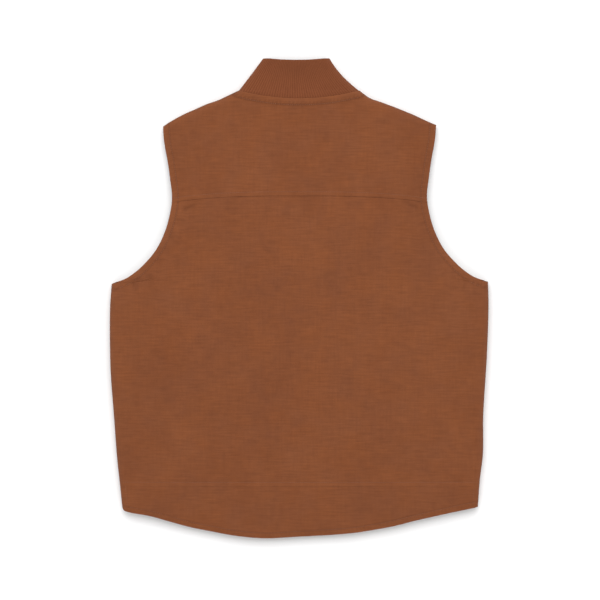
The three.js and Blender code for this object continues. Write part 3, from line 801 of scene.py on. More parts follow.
class Slab:
    """Closed mesh of cloth under a grid of outer points, with a rounded rim."""

    RIM_TURNS = (60, 30, 0, -30, -60)
    CORNER = 1.41
    RIM_SHADE = -0.4

    def __init__(self, grid: Grid) -> None:
        """Works out the vertices and faces.

        Args:
            grid: Points of the outer face.
        """
        shape = (grid.rows, grid.columns)
        outer = grid.skin.at.reshape(*shape, 3)
        out = grid.skin.out.reshape(*shape, 3)
        index = np.arange(grid.rows * grid.columns).reshape(shape)
        count = index.size
        ring, inside = self._ring(index)
        flat, normal = outer.reshape(-1, 3), out.reshape(-1, 3)
        beyond = flat[ring] - flat[inside]
        beyond = beyond - (beyond * normal[ring]).sum(1, keepdims=True) * normal[ring]
        beyond = beyond / np.maximum(np.linalg.norm(beyond, axis=1, keepdims=True), 1e-9)
        half = grid.wall / 2
        centre = flat[ring] - normal[ring] * half
        swell = grid.rim.reshape(-1)[ring, None]
        corner = np.isin(ring, [index[0, 0], index[0, -1], index[-1, -1], index[-1, 0]])
        swell = np.where(corner[:, None], swell * self.CORNER, swell)
        layers = [flat, flat - normal * grid.wall]
        uv = grid.uv.reshape(-1, 2)
        grain = [uv, uv]
        step = uv[ring] - uv[inside]
        step = step / np.maximum(np.linalg.norm(step, axis=1, keepdims=True), 1e-9)
        for degrees in self.RIM_TURNS:
            turn = math.radians(degrees)
            layers.append(centre + normal[ring] * half * math.sin(turn) + beyond * swell * math.cos(turn))
            grain.append(uv[ring] + step * swell * MM * (1.2 - math.sin(turn)))
        self.points = np.concatenate(layers) * MM
        self.grain = np.concatenate(grain)
        shaded = np.full(len(ring), self.RIM_SHADE)
        self.fold = np.concatenate([grid.skin.fold, grid.skin.fold] + [shaded] * len(self.RIM_TURNS))
        self.faces = self._faces(index, ring, count)

    @staticmethod
    def _ring(index: Array) -> tuple[Array, Array]:
        """Border points in order round the grid, and the point inside of each."""
        rows, columns = index.shape
        ring = np.concatenate([index[0, :-1], index[:-1, -1], index[-1, :0:-1], index[:0:-1, 0]])
        r, c = np.divmod(ring, columns)
        inner_r = np.clip(r, 1, rows - 2)
        inner_c = np.clip(c, 1, columns - 2)
        return ring, index[inner_r, inner_c]

    def _faces(self, index: Array, ring: Array, count: int) -> Array:
        """Four-cornered faces of both sides and of the rim, all facing outwards."""
        a, b = index[:-1, :-1].ravel(), index[:-1, 1:].ravel()
        c, d = index[1:, 1:].ravel(), index[1:, :-1].ravel()
        faces = [np.stack([a, b, c, d], 1), np.stack([a, d, c, b], 1) + count]
        steps = range(len(self.RIM_TURNS))
        between = [2 * count + i * len(ring) + np.arange(len(ring)) for i in steps]
        lines = [ring, *between, ring + count]
        for above, below in zip(lines, lines[1:]):
            faces.append(np.stack([above, below, np.roll(below, -1), np.roll(above, -1)], 1))
        made = np.concatenate(faces)
        corner = self.points[made]
        first = np.cross(corner[:, 1], corner[:, 2])
        second = np.cross(corner[:, 2], corner[:, 3])
        volume = (corner[:, 0] * (first + second)).sum()
        return made if volume > 0 else made[:, ::-1]

    def mesh(self, name: str) -> Mesh:
        """Makes the Blender mesh, with its grain as UV, and its worn folds and painted shade as an attribute.

        Args:
            name: Name of the mesh.

        Returns:
            The mesh, shaded smooth.
        """
        mesh = bpy.data.meshes.new(name)
        mesh.from_pydata(self.points.tolist(), [], self.faces.tolist())
        mesh.shade_smooth()
        grain = mesh.uv_layers.new(name="grain")
        corners = np.zeros(len(mesh.loops), np.int32)
        mesh.loops.foreach_get("vertex_index", corners)
        grain.data.foreach_set("uv", self.grain[corners].ravel().astype(np.float32))
        # The fold attribute holds wear above 0 and painted shade below 0.
        worn = mesh.attributes.new("fold", "FLOAT", "POINT")
        worn.data.foreach_set("value", self.fold.astype(np.float32))
        return mesh


class NodeSheet:
    """Adds nodes to one tree and joins them."""

    STEP = 180

    def __init__(self, tree: NodeTree) -> None:
        """Keeps the shader or geometry node tree."""
        self.tree = tree

    def add(self, kind: str, feeds: dict | None = None, **settings: object) -> Node:
        """Adds a node.

        Args:
            kind: Blender's name of the node type.
            feeds: Output socket or plain value for each input, by its name or number.
            **settings: Properties to set on it.

        Returns:
            The node.
        """
        node = self.tree.nodes.new(kind)
        node.location = (self.STEP * len(self.tree.nodes), 0)
        for name, value in settings.items():
            setattr(node, name, value)
        for key, source in (feeds or {}).items():
            self.feed(source, node.inputs[key])
        return node

    def feed(self, source: object, socket: NodeSocket) -> None:
        """Joins a socket, or sets a plain value.

        Args:
            source: Output socket, number, vector or colour.
            socket: Input socket.
        """
        if isinstance(source, NodeSocket):
            self.tree.links.new(source, socket)
        else:
            socket.default_value = source

    def math(self, operation: str, *values: object, clamp: bool = False) -> NodeSocket:
        """Adds a math node.

        Args:
            operation: Blender's name of the operation.
            *values: Its inputs.
            clamp: Whether the result stays between 0 and 1.

        Returns:
            The result.
        """
        node = self.add("ShaderNodeMath", operation=operation, use_clamp=clamp)
        for value, socket in zip(values, node.inputs):
            self.feed(value, socket)
        return node.outputs[0]

    def scaled(self, source: NodeSocket, low: float, high: float) -> NodeSocket:
        """Turns values from 0 to 1 into values from low to high."""
        node = self.add("ShaderNodeMapRange", {"Value": source, "To Min": low, "To Max": high}, clamp=True)
        return node.outputs["Result"]

    def mixed(self, share: object, a: object, b: object, blend: str = "MIX") -> NodeSocket:
        """Mixes two colours."""
        node = self.add("ShaderNodeMix", {0: share, 6: a, 7: b}, data_type="RGBA", blend_type=blend)
        return node.outputs[2]

    def noise(self, vector: object, scale: float, detail: float, roughness: float = 0.55) -> NodeSocket:
        """Adds a noise texture.

        Args:
            vector: Coordinates.
            scale: Lumps to a metre.
            detail: Octaves.
            roughness: Weight of the finer octaves.

        Returns:
            Values from 0 to 1.
        """
        feeds = {"Vector": vector, "Scale": scale, "Detail": detail, "Roughness": roughness}
        node = self.add("ShaderNodeTexNoise", feeds, noise_dimensions="3D")
        return node.outputs["Fac"]

    def place(self) -> NodeSocket:
        """Adds the place on the piece, in metres."""
        return self.add("ShaderNodeTexCoord").outputs["Object"]

    def group(self, tree: NodeTree, **values: object) -> Node:
        """Adds a shader node group.

        Args:
            tree: The group's tree.
            **values: Its inputs, with _ for a space.

        Returns:
            The group node.
        """
        node = self.add("ShaderNodeGroup", node_tree=tree)
        for name, value in values.items():
            self.feed(value, node.inputs[name.replace("_", " ")])
        return node


def node_tree(kind: str, name: str, inputs: dict[str, object], outputs: tuple[str, ...]) -> tuple:
    """Starts a tree of shader or geometry nodes.

    Args:
        kind: Shader or Geometry.
        name: Name of the tree.
        inputs: Plain value of each input, or its socket type where it has none.
        outputs: Names of the outputs, of which Geometry is the only one that isn't a plain value.

    Returns:
        The tree, its node sheet, its input node and its output node.
    """
    tree = bpy.data.node_groups.new(name, kind + "NodeTree")
    if kind == "Geometry":
        tree.is_modifier = True
    for label, value in inputs.items():
        plain = "Int" if isinstance(value, int) else "Float"
        sort = value if isinstance(value, str) else plain
        socket = tree.interface.new_socket(name=label, in_out="INPUT", socket_type="NodeSocket" + sort)
        if not isinstance(value, str):
            socket.default_value = value
    for label in outputs:
        sort = label if label == "Geometry" else "Float"
        tree.interface.new_socket(name=label, in_out="OUTPUT", socket_type="NodeSocket" + sort)
    sheet = NodeSheet(tree)
    return tree, sheet, sheet.add("NodeGroupInput"), sheet.add("NodeGroupOutput")


class Effects:
    """Shader node groups that more than one finish uses, each built once."""

    def __init__(self) -> None:
        """Builds the groups."""
        self.weave = self._weave()
        self.slub = self._slub()
        self.wash = self._wash()
        self.wear = self._wear()

    def _weave(self) -> NodeTree:
        """Plain weave: each yarn goes over and under the ones that cross it."""
        inputs = {"Vector": "Vector", "Warp Pitch": 0.0008, "Weft Pitch": 0.001}
        tree, n, start, end = node_tree("Shader", "plain_weave", inputs, ("Height", "Hollow"))
        split = n.add("ShaderNodeSeparateXYZ", {0: start.outputs["Vector"]})
        u = n.math("DIVIDE", split.outputs["X"], start.outputs["Warp Pitch"])
        v = n.math("DIVIDE", split.outputs["Y"], start.outputs["Weft Pitch"])
        warp = n.math("ABSOLUTE", n.math("SINE", n.math("MULTIPLY", u, math.pi)))
        weft = n.math("ABSOLUTE", n.math("SINE", n.math("MULTIPLY", v, math.pi)))
        cell = n.math("ADD", n.math("FLOOR", u), n.math("FLOOR", v))
        over = n.math("FLOORED_MODULO", cell, 2.0)
        warp_up = n.math("MULTIPLY", warp, n.scaled(weft, 0.45, 1))
        weft_up = n.math("MULTIPLY", weft, n.scaled(warp, 0.55, 0.95))
        blend = n.add("ShaderNodeMix", {0: over, 2: weft_up, 3: warp_up}, data_type="FLOAT")
        n.feed(blend.outputs[0], end.inputs["Height"])
        # The gaps between the yarns, which the finishes darken as painted shade.
        hollow = n.math("SUBTRACT", 1.0, n.math("MAXIMUM", warp, weft), clamp=True)
        n.feed(hollow, end.inputs["Hollow"])
        return tree

    def _slub(self) -> NodeTree:
        """Uneven yarn: long thin streaks along the weft."""
        inputs = {"Vector": "Vector", "Slub Length": 0.03, "Slub Width": 0.002}
        tree, n, start, end = node_tree("Shader", "slub_yarn", inputs, ("Mask",))
        split = n.add("ShaderNodeSeparateXYZ", {0: start.outputs["Vector"]})
        feeds = {
            "X": n.math("DIVIDE", split.outputs["X"], start.outputs["Slub Length"]),
            "Y": n.math("DIVIDE", split.outputs["Y"], start.outputs["Slub Width"]),
        }
        join = n.add("ShaderNodeCombineXYZ", feeds)
        streaks = n.noise(join.outputs[0], 1, 2.5)
        feeds = {"Value": streaks, "From Min": 0.3, "From Max": 0.7}
        spread = n.add("ShaderNodeMapRange", feeds, clamp=True)
        n.feed(spread.outputs["Result"], end.inputs["Mask"])
        return tree

    def _wash(self) -> NodeTree:
        """Uneven dye of washed cloth, from hand-wide clouds down to small mottling."""
        outputs = ("Clouds", "Patches", "Mottle")
        tree, n, start, end = node_tree("Shader", "washed_dye", {"Vector": "Vector"}, outputs)
        for label, scale, spread in (("Clouds", 13, 0.16), ("Patches", 22, 0.16), ("Mottle", 90, 0.3)):
            feeds = {
                "Value": n.noise(start.outputs["Vector"], scale, 3, 0.6),
                "From Min": 0.5 - spread,
                "From Max": 0.5 + spread,
            }
            sharper = n.add("ShaderNodeMapRange", feeds, clamp=True)
            n.feed(sharper.outputs["Result"], end.inputs[label])
        return tree

    def _wear(self) -> NodeTree:
        """Rubbed folds and edges, broken up along their length."""
        inputs = {"Vector": "Vector", "Fold": 0.0}
        tree, n, start, end = node_tree("Shader", "rubbed_folds", inputs, ("Mask",))
        broken = n.scaled(n.noise(start.outputs["Vector"], 160, 2), 0.15, 1.5)
        n.feed(n.math("MULTIPLY", start.outputs["Fold"], broken, clamp=True), end.inputs["Mask"])
        return tree


def shader(name: str, **values: object) -> tuple[Material, NodeSheet, Node]:
    """Starts a material.

    Args:
        name: Name of the material.
        **values: Plain values of the shader, with _ for a space.

    Returns:
        The material, its node sheet and its Principled shader.
    """
    material = bpy.data.materials.new(name)
    material.use_nodes = True
    principled = material.node_tree.nodes["Principled BSDF"]
    for label, value in values.items():
        principled.inputs[label.replace("_", " ")].default_value = value
    return material, NodeSheet(material.node_tree), principled


def bumped(n: NodeSheet, principled: Node, steps: list[tuple[object, float, float]]) -> None:
    """Feeds a chain of bumps to a shader.

    Args:
        n: Node sheet of the material.
        principled: The shader.
        steps: Height, distance in metres and strength of each bump, the broadest first.
    """
    normal = None
    for height, distance, strength in steps:
        bump = n.add("ShaderNodeBump", {"Height": height, "Distance": distance, "Strength": strength})
        if normal is not None:
            n.feed(normal, bump.inputs["Normal"])
        normal = bump.outputs["Normal"]
    n.feed(normal, principled.inputs["Normal"])


@dataclass(frozen=True)
class DuckCanvas:
    """Finish of the washed duck canvas."""

    name: str = "duck_canvas"
    deep: Colour = (0.170, 0.0514, 0.0180, 1)
    pale: Colour = (0.238, 0.0772, 0.0279, 1)
    warm: Colour = (0.226, 0.0657, 0.0195, 1)
    cool: Colour = (0.186, 0.0616, 0.0274, 1)
    rubbed: Colour = (0.266, 0.0882, 0.0323, 1)
    # Dark tone for the real darker slub yarns, and for the shade painted in the weave's gaps, at the stitches,
    # in crease valleys and on the rims.
    hollow: Colour = (0.106, 0.0322, 0.0118, 1)
    warp_pitch: float = 0.00085
    weft_pitch: float = 0.00105
    slub_length: float = 0.03
    slub_width: float = 0.0026
    warp_slub_length: float = 0.04
    warp_slub_width: float = 0.003
    sheen: float = 0.04
    weft_streaks: float = 0.46
    warp_streaks: float = 0.22
    mottling: float = 0.36
    # Strength of the shade painted in the gaps between the yarns.
    hollows: float = 0.5
    wear: float = 0.4
    # How strongly fold values below 0 darken the colour: shade painted at the stitches, in crease valleys and
    # on the rims.
    sunk: float = 0.8

    def material(self, effects: Effects) -> Material:
        """Builds the material.

        Args:
            effects: Shared shader groups.

        Returns:
            The material.
        """
        matt = {"Specular_IOR_Level": 0.15, "Sheen_Weight": self.sheen, "Sheen_Roughness": 0.5}
        material, n, principled = shader(self.name, **matt)
        grain = n.add("ShaderNodeUVMap", uv_map="grain").outputs[0]
        place = n.place()
        # The fold attribute: wear above 0, painted shade below 0.
        fold = n.add("ShaderNodeAttribute", attribute_name="fold").outputs["Fac"]
        weave = n.group(effects.weave, Vector=grain, Warp_Pitch=self.warp_pitch, Weft_Pitch=self.weft_pitch)
        slub = n.group(effects.slub, Vector=grain, Slub_Length=self.slub_length, Slub_Width=self.slub_width)
        # these run along the warp, so their width lies across and their length up
        across, up = self.warp_slub_width, self.warp_slub_length
        warp_slub = n.group(effects.slub, Vector=grain, Slub_Length=across, Slub_Width=up)
        wash = n.group(effects.wash, Vector=place)
        wear = n.group(effects.wear, Vector=place, Fold=fold)
        streak = slub.outputs["Mask"]
        dye = n.mixed(wash.outputs["Clouds"], self.deep, self.pale)
        dye = n.mixed(0.5, dye, n.mixed(wash.outputs["Patches"], self.cool, self.warm))
        dye = n.mixed(n.scaled(streak, self.weft_streaks, 0), dye, self.hollow)
        dye = n.mixed(n.scaled(warp_slub.outputs["Mask"], self.warp_streaks, 0), dye, self.hollow)
        dye = n.mixed(n.scaled(wash.outputs["Mottle"], 0, self.mottling), dye, self.pale)
        # Painted shade in the gaps between the yarns.
        dye = n.mixed(n.math("MULTIPLY", weave.outputs["Hollow"], self.hollows), dye, self.hollow)
        dye = n.mixed(n.math("MULTIPLY", wear.outputs["Mask"], self.wear), dye, self.rubbed)
        # Painted shade where the fold attribute is below 0.
        dye = n.mixed(n.math("MULTIPLY", fold, -self.sunk, clamp=True), dye, self.hollow)
        n.feed(dye, principled.inputs["Base Color"])
        n.feed(n.scaled(weave.outputs["Height"], 0.97, 0.84), principled.inputs["Roughness"])
        bumped(n, principled, [(streak, 0.0002, 0.35), (weave.outputs["Height"], 0.0002, 0.45)])
        return material


@dataclass(frozen=True)
class RibKnit:
    """Finish of the rib-knit collar."""

    name: str = "rib_knit"
    deep: Colour = (0.124, 0.0362, 0.0132, 1)
    pale: Colour = (0.197, 0.0594, 0.0219, 1)
    rubbed: Colour = (0.220, 0.0695, 0.0256, 1)
    loop_height: float = 0.0016
    rib_pitch: float = 0.0032
    # Share of the pale tone left in the shade painted into the furrows between the ribs.
    furrow_shade: float = 0.2
    clouding: float = 0.45
    mottling: float = 0.5
    # Strength of the shade painted between the knit loops.
    loops: float = 0.3
    wear: float = 0.35
    sheen: float = 0.06

    def material(self, effects: Effects) -> Material:
        """Builds the material.

        Args:
            effects: Shared shader groups.

        Returns:
            The material.
        """
        matt = {"Specular_IOR_Level": 0.15, "Sheen_Weight": self.sheen, "Sheen_Roughness": 0.5}
        material, n, principled = shader(self.name, **matt)
        grain = n.add("ShaderNodeUVMap", uv_map="grain").outputs[0]
        place = n.place()
        fold = n.add("ShaderNodeAttribute", attribute_name="fold").outputs["Fac"]
        split = n.add("ShaderNodeSeparateXYZ", {0: grain})
        ribs = n.math("DIVIDE", split.outputs["X"], self.rib_pitch)
        crest = n.math("ABSOLUTE", n.math("SINE", n.math("MULTIPLY", ribs, math.pi)))
        halves = n.math("PINGPONG", n.math("MULTIPLY", ribs, 2.0), 1.0)
        loops = n.math("DIVIDE", split.outputs["Y"], self.loop_height)
        slant = n.math("ADD", loops, n.math("MULTIPLY", halves, 0.6))
        stitch = n.math("ABSOLUTE", n.math("SINE", n.math("MULTIPLY", slant, math.pi)))
        loop = n.math("MULTIPLY", stitch, n.scaled(crest, 0.4, 1))
        wash = n.group(effects.wash, Vector=place)
        wear = n.group(effects.wear, Vector=place, Fold=fold)
        # Painted shade in the furrows between the ribs, pale on their crests.
        dye = n.mixed(n.scaled(crest, self.furrow_shade, 1), self.deep, self.pale)
        dye = n.mixed(n.scaled(wash.outputs["Clouds"], 0, self.clouding), dye, self.deep)
        dye = n.mixed(n.scaled(wash.outputs["Mottle"], 0, self.mottling), dye, self.pale)
        # Painted shade in the gaps between the knit loops.
        dye = n.mixed(n.scaled(stitch, self.loops, 0), dye, self.deep)
        dye = n.mixed(n.math("MULTIPLY", wear.outputs["Mask"], self.wear), dye, self.rubbed)
        n.feed(dye, principled.inputs["Base Color"])
        n.feed(n.scaled(loop, 0.98, 0.86), principled.inputs["Roughness"])
        bumped(n, principled, [(loop, 0.0003, 0.6)])
        return material


@dataclass(frozen=True)
class SewingThread:
    """Finish of the stitches."""

    name: str = "sewing_thread"
    deep: Colour = (0.150, 0.0480, 0.0200, 1)
    pale: Colour = (0.250, 0.0900, 0.0390, 1)

    def material(self) -> Material:
        """Builds the material."""
        material, n, principled = shader(self.name)
        place = n.place()
        twist = n.noise(place, 1400, 2)
        n.feed(n.mixed(twist, self.deep, self.pale), principled.inputs["Base Color"])
        n.feed(n.scaled(twist, 0.75, 0.5), principled.inputs["Roughness"])
        bumped(n, principled, [(twist, 0.0001, 0.4)])
        return material


@dataclass(frozen=True)
class ZipTapeWeave:
    """Finish of the zip's woven tape."""

    name: str = "zip_tape_weave"
    deep: Colour = (0.085, 0.0300, 0.0150, 1)
    pale: Colour = (0.120, 0.0430, 0.0210, 1)

    def material(self, effects: Effects) -> Material:
        """Builds the material.

        Args:
            effects: Shared shader groups.

        Returns:
            The material.
        """
        material, n, principled = shader(self.name)
        place = n.place()
        weave = n.group(effects.weave, Vector=place, Warp_Pitch=0.0009, Weft_Pitch=0.0006)
        wash = n.group(effects.wash, Vector=place)
        dye = n.mixed(wash.outputs["Mottle"], self.deep, self.pale)
        # Painted shade in the gaps between the tape's yarns.
        dye = n.mixed(n.math("MULTIPLY", weave.outputs["Hollow"], 0.6), dye, self.deep)
        n.feed(dye, principled.inputs["Base Color"])
        n.feed(n.scaled(weave.outputs["Height"], 0.9, 0.7), principled.inputs["Roughness"])
        bumped(n, principled, [(weave.outputs["Height"], 0.0001, 0.5)])
        return material


@dataclass(frozen=True)
class AgedBrass:
    """Finish of the zip's teeth, slider and pull."""

    name: str = "aged_brass"
    bright: Colour = (0.56, 0.40, 0.18, 1)
    dull: Colour = (0.22, 0.15, 0.075, 1)

    def material(self, effects: Effects) -> Material:
        """Builds the material.

        Args:
            effects: Shared shader groups.

        Returns:
            The material.
        """
        material, n, principled = shader(self.name, Metallic=1)
        place = n.place()
        wash = n.group(effects.wash, Vector=place)
        fine = n.noise(place, 900, 4)
        broad = n.scaled(wash.outputs["Mottle"], 0.2, 1)
        tarnish = n.math("MULTIPLY", broad, n.scaled(fine, 0.3, 1.2), clamp=True)
        n.feed(n.mixed(tarnish, self.bright, self.dull), principled.inputs["Base Color"])
        n.feed(n.scaled(tarnish, 0.28, 0.62), principled.inputs["Roughness"])
        bumped(n, principled, [(fine, 0.00005, 0.3)])
        return material


@dataclass
class Wardrobe:
    """All finishes, ready to use."""

    effects: Effects = field(default_factory=Effects)

    def __post_init__(self) -> None:
        """Builds the materials."""
        self.canvas = DuckCanvas().material(self.effects)
        self.knit = RibKnit().material(self.effects)
        self.thread = SewingThread().material()
        self.tape = ZipTapeWeave().material(self.effects)
        self.brass = AgedBrass().material(self.effects)


def finished(n: NodeSheet, start: Node, end: Node, made: NodeSocket) -> None:
    """Ends a Geometry Nodes tree in Realize Instances and Set Material.

    Args:
        n: Node sheet of the tree.
        start: Its input node.
        end: Its output node.
        made: The geometry so far.
    """
    real = n.add("GeometryNodeRealizeInstances", {"Geometry": made})
    smooth = n.add("GeometryNodeSetShadeSmooth", {"Geometry": real.outputs[0]})
    feeds = {"Geometry": smooth.outputs[0], "Material": start.outputs["Material"]}
    coat = n.add("GeometryNodeSetMaterial", feeds)
    n.feed(coat.outputs[0], end.inputs[0])


def laid_rotation(n: NodeSheet, seed: object, jitter: object) -> NodeSocket:
    """Rotation that follows a path and stands on the cloth, with a small random turn.

    Args:
        n: Node sheet of the tree.
        seed: Seed of the random turn.
        jitter: Largest turn, in radians.

    Returns:
        The rotation.
    """
    tangent = n.add("GeometryNodeInputTangent")
    out = n.add("GeometryNodeInputNamedAttribute", {"Name": "out"}, data_type="FLOAT_VECTOR")
    along = n.add("FunctionNodeAlignRotationToVector", {"Vector": tangent.outputs[0]}, axis="X")
    feeds = {"Rotation": along.outputs[0], "Vector": out.outputs[0]}
    upright = n.add("FunctionNodeAlignRotationToVector", feeds, axis="Z", pivot_axis="X")
    feeds = {2: n.math("MULTIPLY", jitter, -1.0), 3: jitter, "Seed": seed}
    chance = n.add("FunctionNodeRandomValue", feeds, data_type="FLOAT")
    join = n.add("ShaderNodeCombineXYZ", {"Z": chance.outputs[1]})
    turn = n.add("FunctionNodeEulerToRotation", {0: join.outputs[0]})
    feeds = {"Rotation": upright.outputs[0], "Rotate By": turn.outputs[0]}
    both = n.add("FunctionNodeRotateRotation", feeds, rotation_space="LOCAL")
    return both.outputs[0]


def along_path(n: NodeSheet, start: Node, pitch: object) -> NodeSocket:
    """Evenly spaced points along the lines of the incoming mesh."""
    curve = n.add("GeometryNodeMeshToCurve", {"Mesh": start.outputs["Geometry"]})
    spread = n.add("GeometryNodeResampleCurve", {"Curve": curve.outputs[0], "Length": pitch}, mode="LENGTH")
    return spread.outputs[0]


def stitch_tree() -> NodeTree:
    """Row of lockstitches: a plump grain of thread at each step along the path."""
    inputs = {
        "Geometry": "Geometry",
        "Stitch Pitch": 0.0034,
        "Stitch Length": 0.0031,
        "Thread Width": 0.0008,
        "Turn": 0.06,
        "Seed": 3,
        "Material": "Material",
    }
    tree, n, start, end = node_tree("Geometry", "stitch_row", inputs, ("Geometry",))
    path = along_path(n, start, start.outputs["Stitch Pitch"])
    grain = n.add("GeometryNodeMeshUVSphere", {"Segments": 6, "Rings": 5, "Radius": 0.5})
    feeds = {
        "X": start.outputs["Stitch Length"],
        "Y": start.outputs["Thread Width"],
        "Z": start.outputs["Thread Width"],
    }
    size = n.add("ShaderNodeCombineXYZ", feeds)
    shaped = n.add("GeometryNodeTransform", {"Geometry": grain.outputs["Mesh"], "Scale": size.outputs[0]})
    feeds = {
        "Points": path,
        "Instance": shaped.outputs[0],
        "Rotation": laid_rotation(n, start.outputs["Seed"], start.outputs["Turn"]),
    }
    place = n.add("GeometryNodeInstanceOnPoints", feeds)
    finished(n, start, end, place.outputs[0])
    return tree


def tooth_tree() -> NodeTree:
    """Row of zip teeth: a clamp on the tape and a narrower head that meets the other row."""
    inputs = {
        "Geometry": "Geometry",
        "Tooth Pitch": 0.0026,
        "Tooth Width": 0.0013,
        "Tooth Reach": 0.0036,
        "Tooth Height": 0.0026,
        "Seed": 5,
        "Material": "Material",
    }
    tree, n, start, end = node_tree("Geometry", "zip_tooth_row", inputs, ("Geometry",))
    path = along_path(n, start, start.outputs["Tooth Pitch"])
    parts = n.add("GeometryNodeJoinGeometry")
    for reach, height, shift in ((0.62, 1.0, -0.19), (0.55, 0.66, 0.22)):
        block = n.add("GeometryNodeMeshCube")
        feeds = {
            "X": start.outputs["Tooth Width"],
            "Y": n.math("MULTIPLY", start.outputs["Tooth Reach"], reach),
            "Z": n.math("MULTIPLY", start.outputs["Tooth Height"], height),
        }
        size = n.add("ShaderNodeCombineXYZ", feeds)
        n.feed(size.outputs[0], block.inputs["Size"])
        move = n.add("ShaderNodeCombineXYZ", {"Y": n.math("MULTIPLY", start.outputs["Tooth Reach"], shift)})
        feeds = {"Geometry": block.outputs["Mesh"], "Translation": move.outputs[0]}
        shaped = n.add("GeometryNodeTransform", feeds)
        n.feed(shaped.outputs[0], parts.inputs[0])
    feeds = {
        "Points": path,
        "Instance": parts.outputs[0],
        "Rotation": laid_rotation(n, start.outputs["Seed"], 0.02),
    }
    place = n.add("GeometryNodeInstanceOnPoints", feeds)
    finished(n, start, end, place.outputs[0])
    return tree


def rib_tree() -> NodeTree:
    """Ribs of a knit: the cloth stands out along each rib and sinks between them."""
    inputs = {"Geometry": "Geometry", "Rib Pitch": 0.0032, "Rib Depth": 0.001, "Material": "Material"}
    tree, n, start, end = node_tree("Geometry", "knit_ribs", inputs, ("Geometry",))
    along = n.add("GeometryNodeInputNamedAttribute", {"Name": "along"}, data_type="FLOAT")
    out = n.add("GeometryNodeInputNamedAttribute", {"Name": "out"}, data_type="FLOAT_VECTOR")
    ribs = n.math("DIVIDE", along.outputs[0], start.outputs["Rib Pitch"])
    crest = n.math("ABSOLUTE", n.math("SINE", n.math("MULTIPLY", ribs, math.pi)))
    below = n.math("SUBTRACT", n.math("POWER", crest, 0.8), 1.0)
    sunk = n.math("MULTIPLY", below, start.outputs["Rib Depth"])
    move = n.add("ShaderNodeVectorMath", {0: out.outputs[0], "Scale": sunk}, operation="SCALE")
    feeds = {"Geometry": start.outputs["Geometry"], "Offset": move.outputs[0]}
    place = n.add("GeometryNodeSetPosition", feeds)
    finished(n, start, end, place.outputs[0])
    return tree


def worked(obj: Object, tree: NodeTree, **values: object) -> Object:
    """Runs a Geometry Nodes tree on an object and keeps the result as its plain mesh.

    Args:
        obj: The object.
        tree: The tree.
        **values: Its inputs, with _ for a space.

    Returns:
        The object with its new mesh and no modifier.
    """
    modifier = obj.modifiers.new(tree.name, "NODES")
    modifier.node_group = tree
    sockets = {item.name: item.identifier for item in tree.interface.items_tree if item.in_out == "INPUT"}
    for name, value in values.items():
        modifier[sockets[name.replace("_", " ")]] = value
    bpy.context.view_layer.update()
    evaluated = obj.evaluated_get(bpy.context.evaluated_depsgraph_get())
    mesh = bpy.data.meshes.new_from_object(evaluated)
    obj.modifiers.remove(modifier)
    before = obj.data
    obj.data = mesh
    mesh.name = obj.name
    bpy.data.meshes.remove(before)
    return obj


def placed(name: str, mesh: Mesh) -> Object:
    """Puts a mesh in the scene."""
    obj = bpy.data.objects.new(name, mesh)
    bpy.context.scene.collection.objects.link(obj)
    return obj


def carried(obj: Object, slot: str, *nodes: str) -> Object:
    """Lets a piece ride on the frame and stand for its nodes.

    Args:
        obj: The piece.
        slot: Not used.
        *nodes: CAD nodes that it replaces.

    Returns:
        The piece.
    """
    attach(obj, "root")
    if nodes:
        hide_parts(*nodes)
    faces = sum(len(p.vertices) - 2 for p in obj.data.polygons)
    log.info("%s: %d triangles", obj.name, faces)
    return obj


class Stitcher:
    """Sews rows of stitches onto the cloth."""

    STEP = 2.0
    SUNK = 0.1

    def __init__(self, surface: Surface, thread: Material) -> None:
        """Keeps what it sews on and with.

        Args:
            surface: Where the cloth lies.
            thread: The thread's material.
        """
        self.surface = surface
        self.thread = thread
        self.tree = stitch_tree()

    def inside(self, edge: Array, distance: float) -> Array:
        """Line at a distance inside an edge.

        Args:
            edge: Points of the edge.
            distance: How far inside.

        Returns:
            Points, one for each of the edge's.
        """
        run = np.gradient(edge, axis=0)
        across = spots(-run[:, 1], run[:, 0])
        across = across / np.linalg.norm(across, axis=1, keepdims=True)
        inward = np.where((across * edge).sum(1, keepdims=True) > 0, -across, across)
        return edge + inward * distance

    def sew(self, name: str, lines: list[Array], layer: Layer, seed: int) -> Object:
        """Makes one piece of all rows on a piece of canvas.

        Args:
            name: Name of the piece.
            lines: Rows, each an array of points seen from above.
            layer: Back or front.
            seed: Seed of the small random turns.

        Returns:
            The piece.
        """
        points: list[Array] = []
        normals: list[Array] = []
        joins: list[tuple[int, int]] = []
        for line in lines:
            steps = max(int(runs(line) / self.STEP), 2)
            length = np.concatenate([[0], np.cumsum(np.linalg.norm(np.diff(line, axis=0), axis=1))])
            share = np.linspace(0, length[-1], steps)
            spread = spots(np.interp(share, length, line[:, 0]), np.interp(share, length, line[:, 1]))
            skin = self.surface.skin(spread, layer, 0)
            first = sum(len(p) for p in points)
            points.append(skin.at - skin.out * self.SUNK)
            normals.append(skin.out)
            joins += [(first + i, first + i + 1) for i in range(steps - 1)]
        mesh = bpy.data.meshes.new(name)
        mesh.from_pydata((np.concatenate(points) * MM).tolist(), joins, [])
        out = mesh.attributes.new("out", "FLOAT_VECTOR", "POINT")
        out.data.foreach_set("vector", np.concatenate(normals).ravel().astype(np.float32))
        obj = worked(placed(name, mesh), self.tree, Seed=seed, Material=self.thread)
        return carried(obj, "duck_canvas")


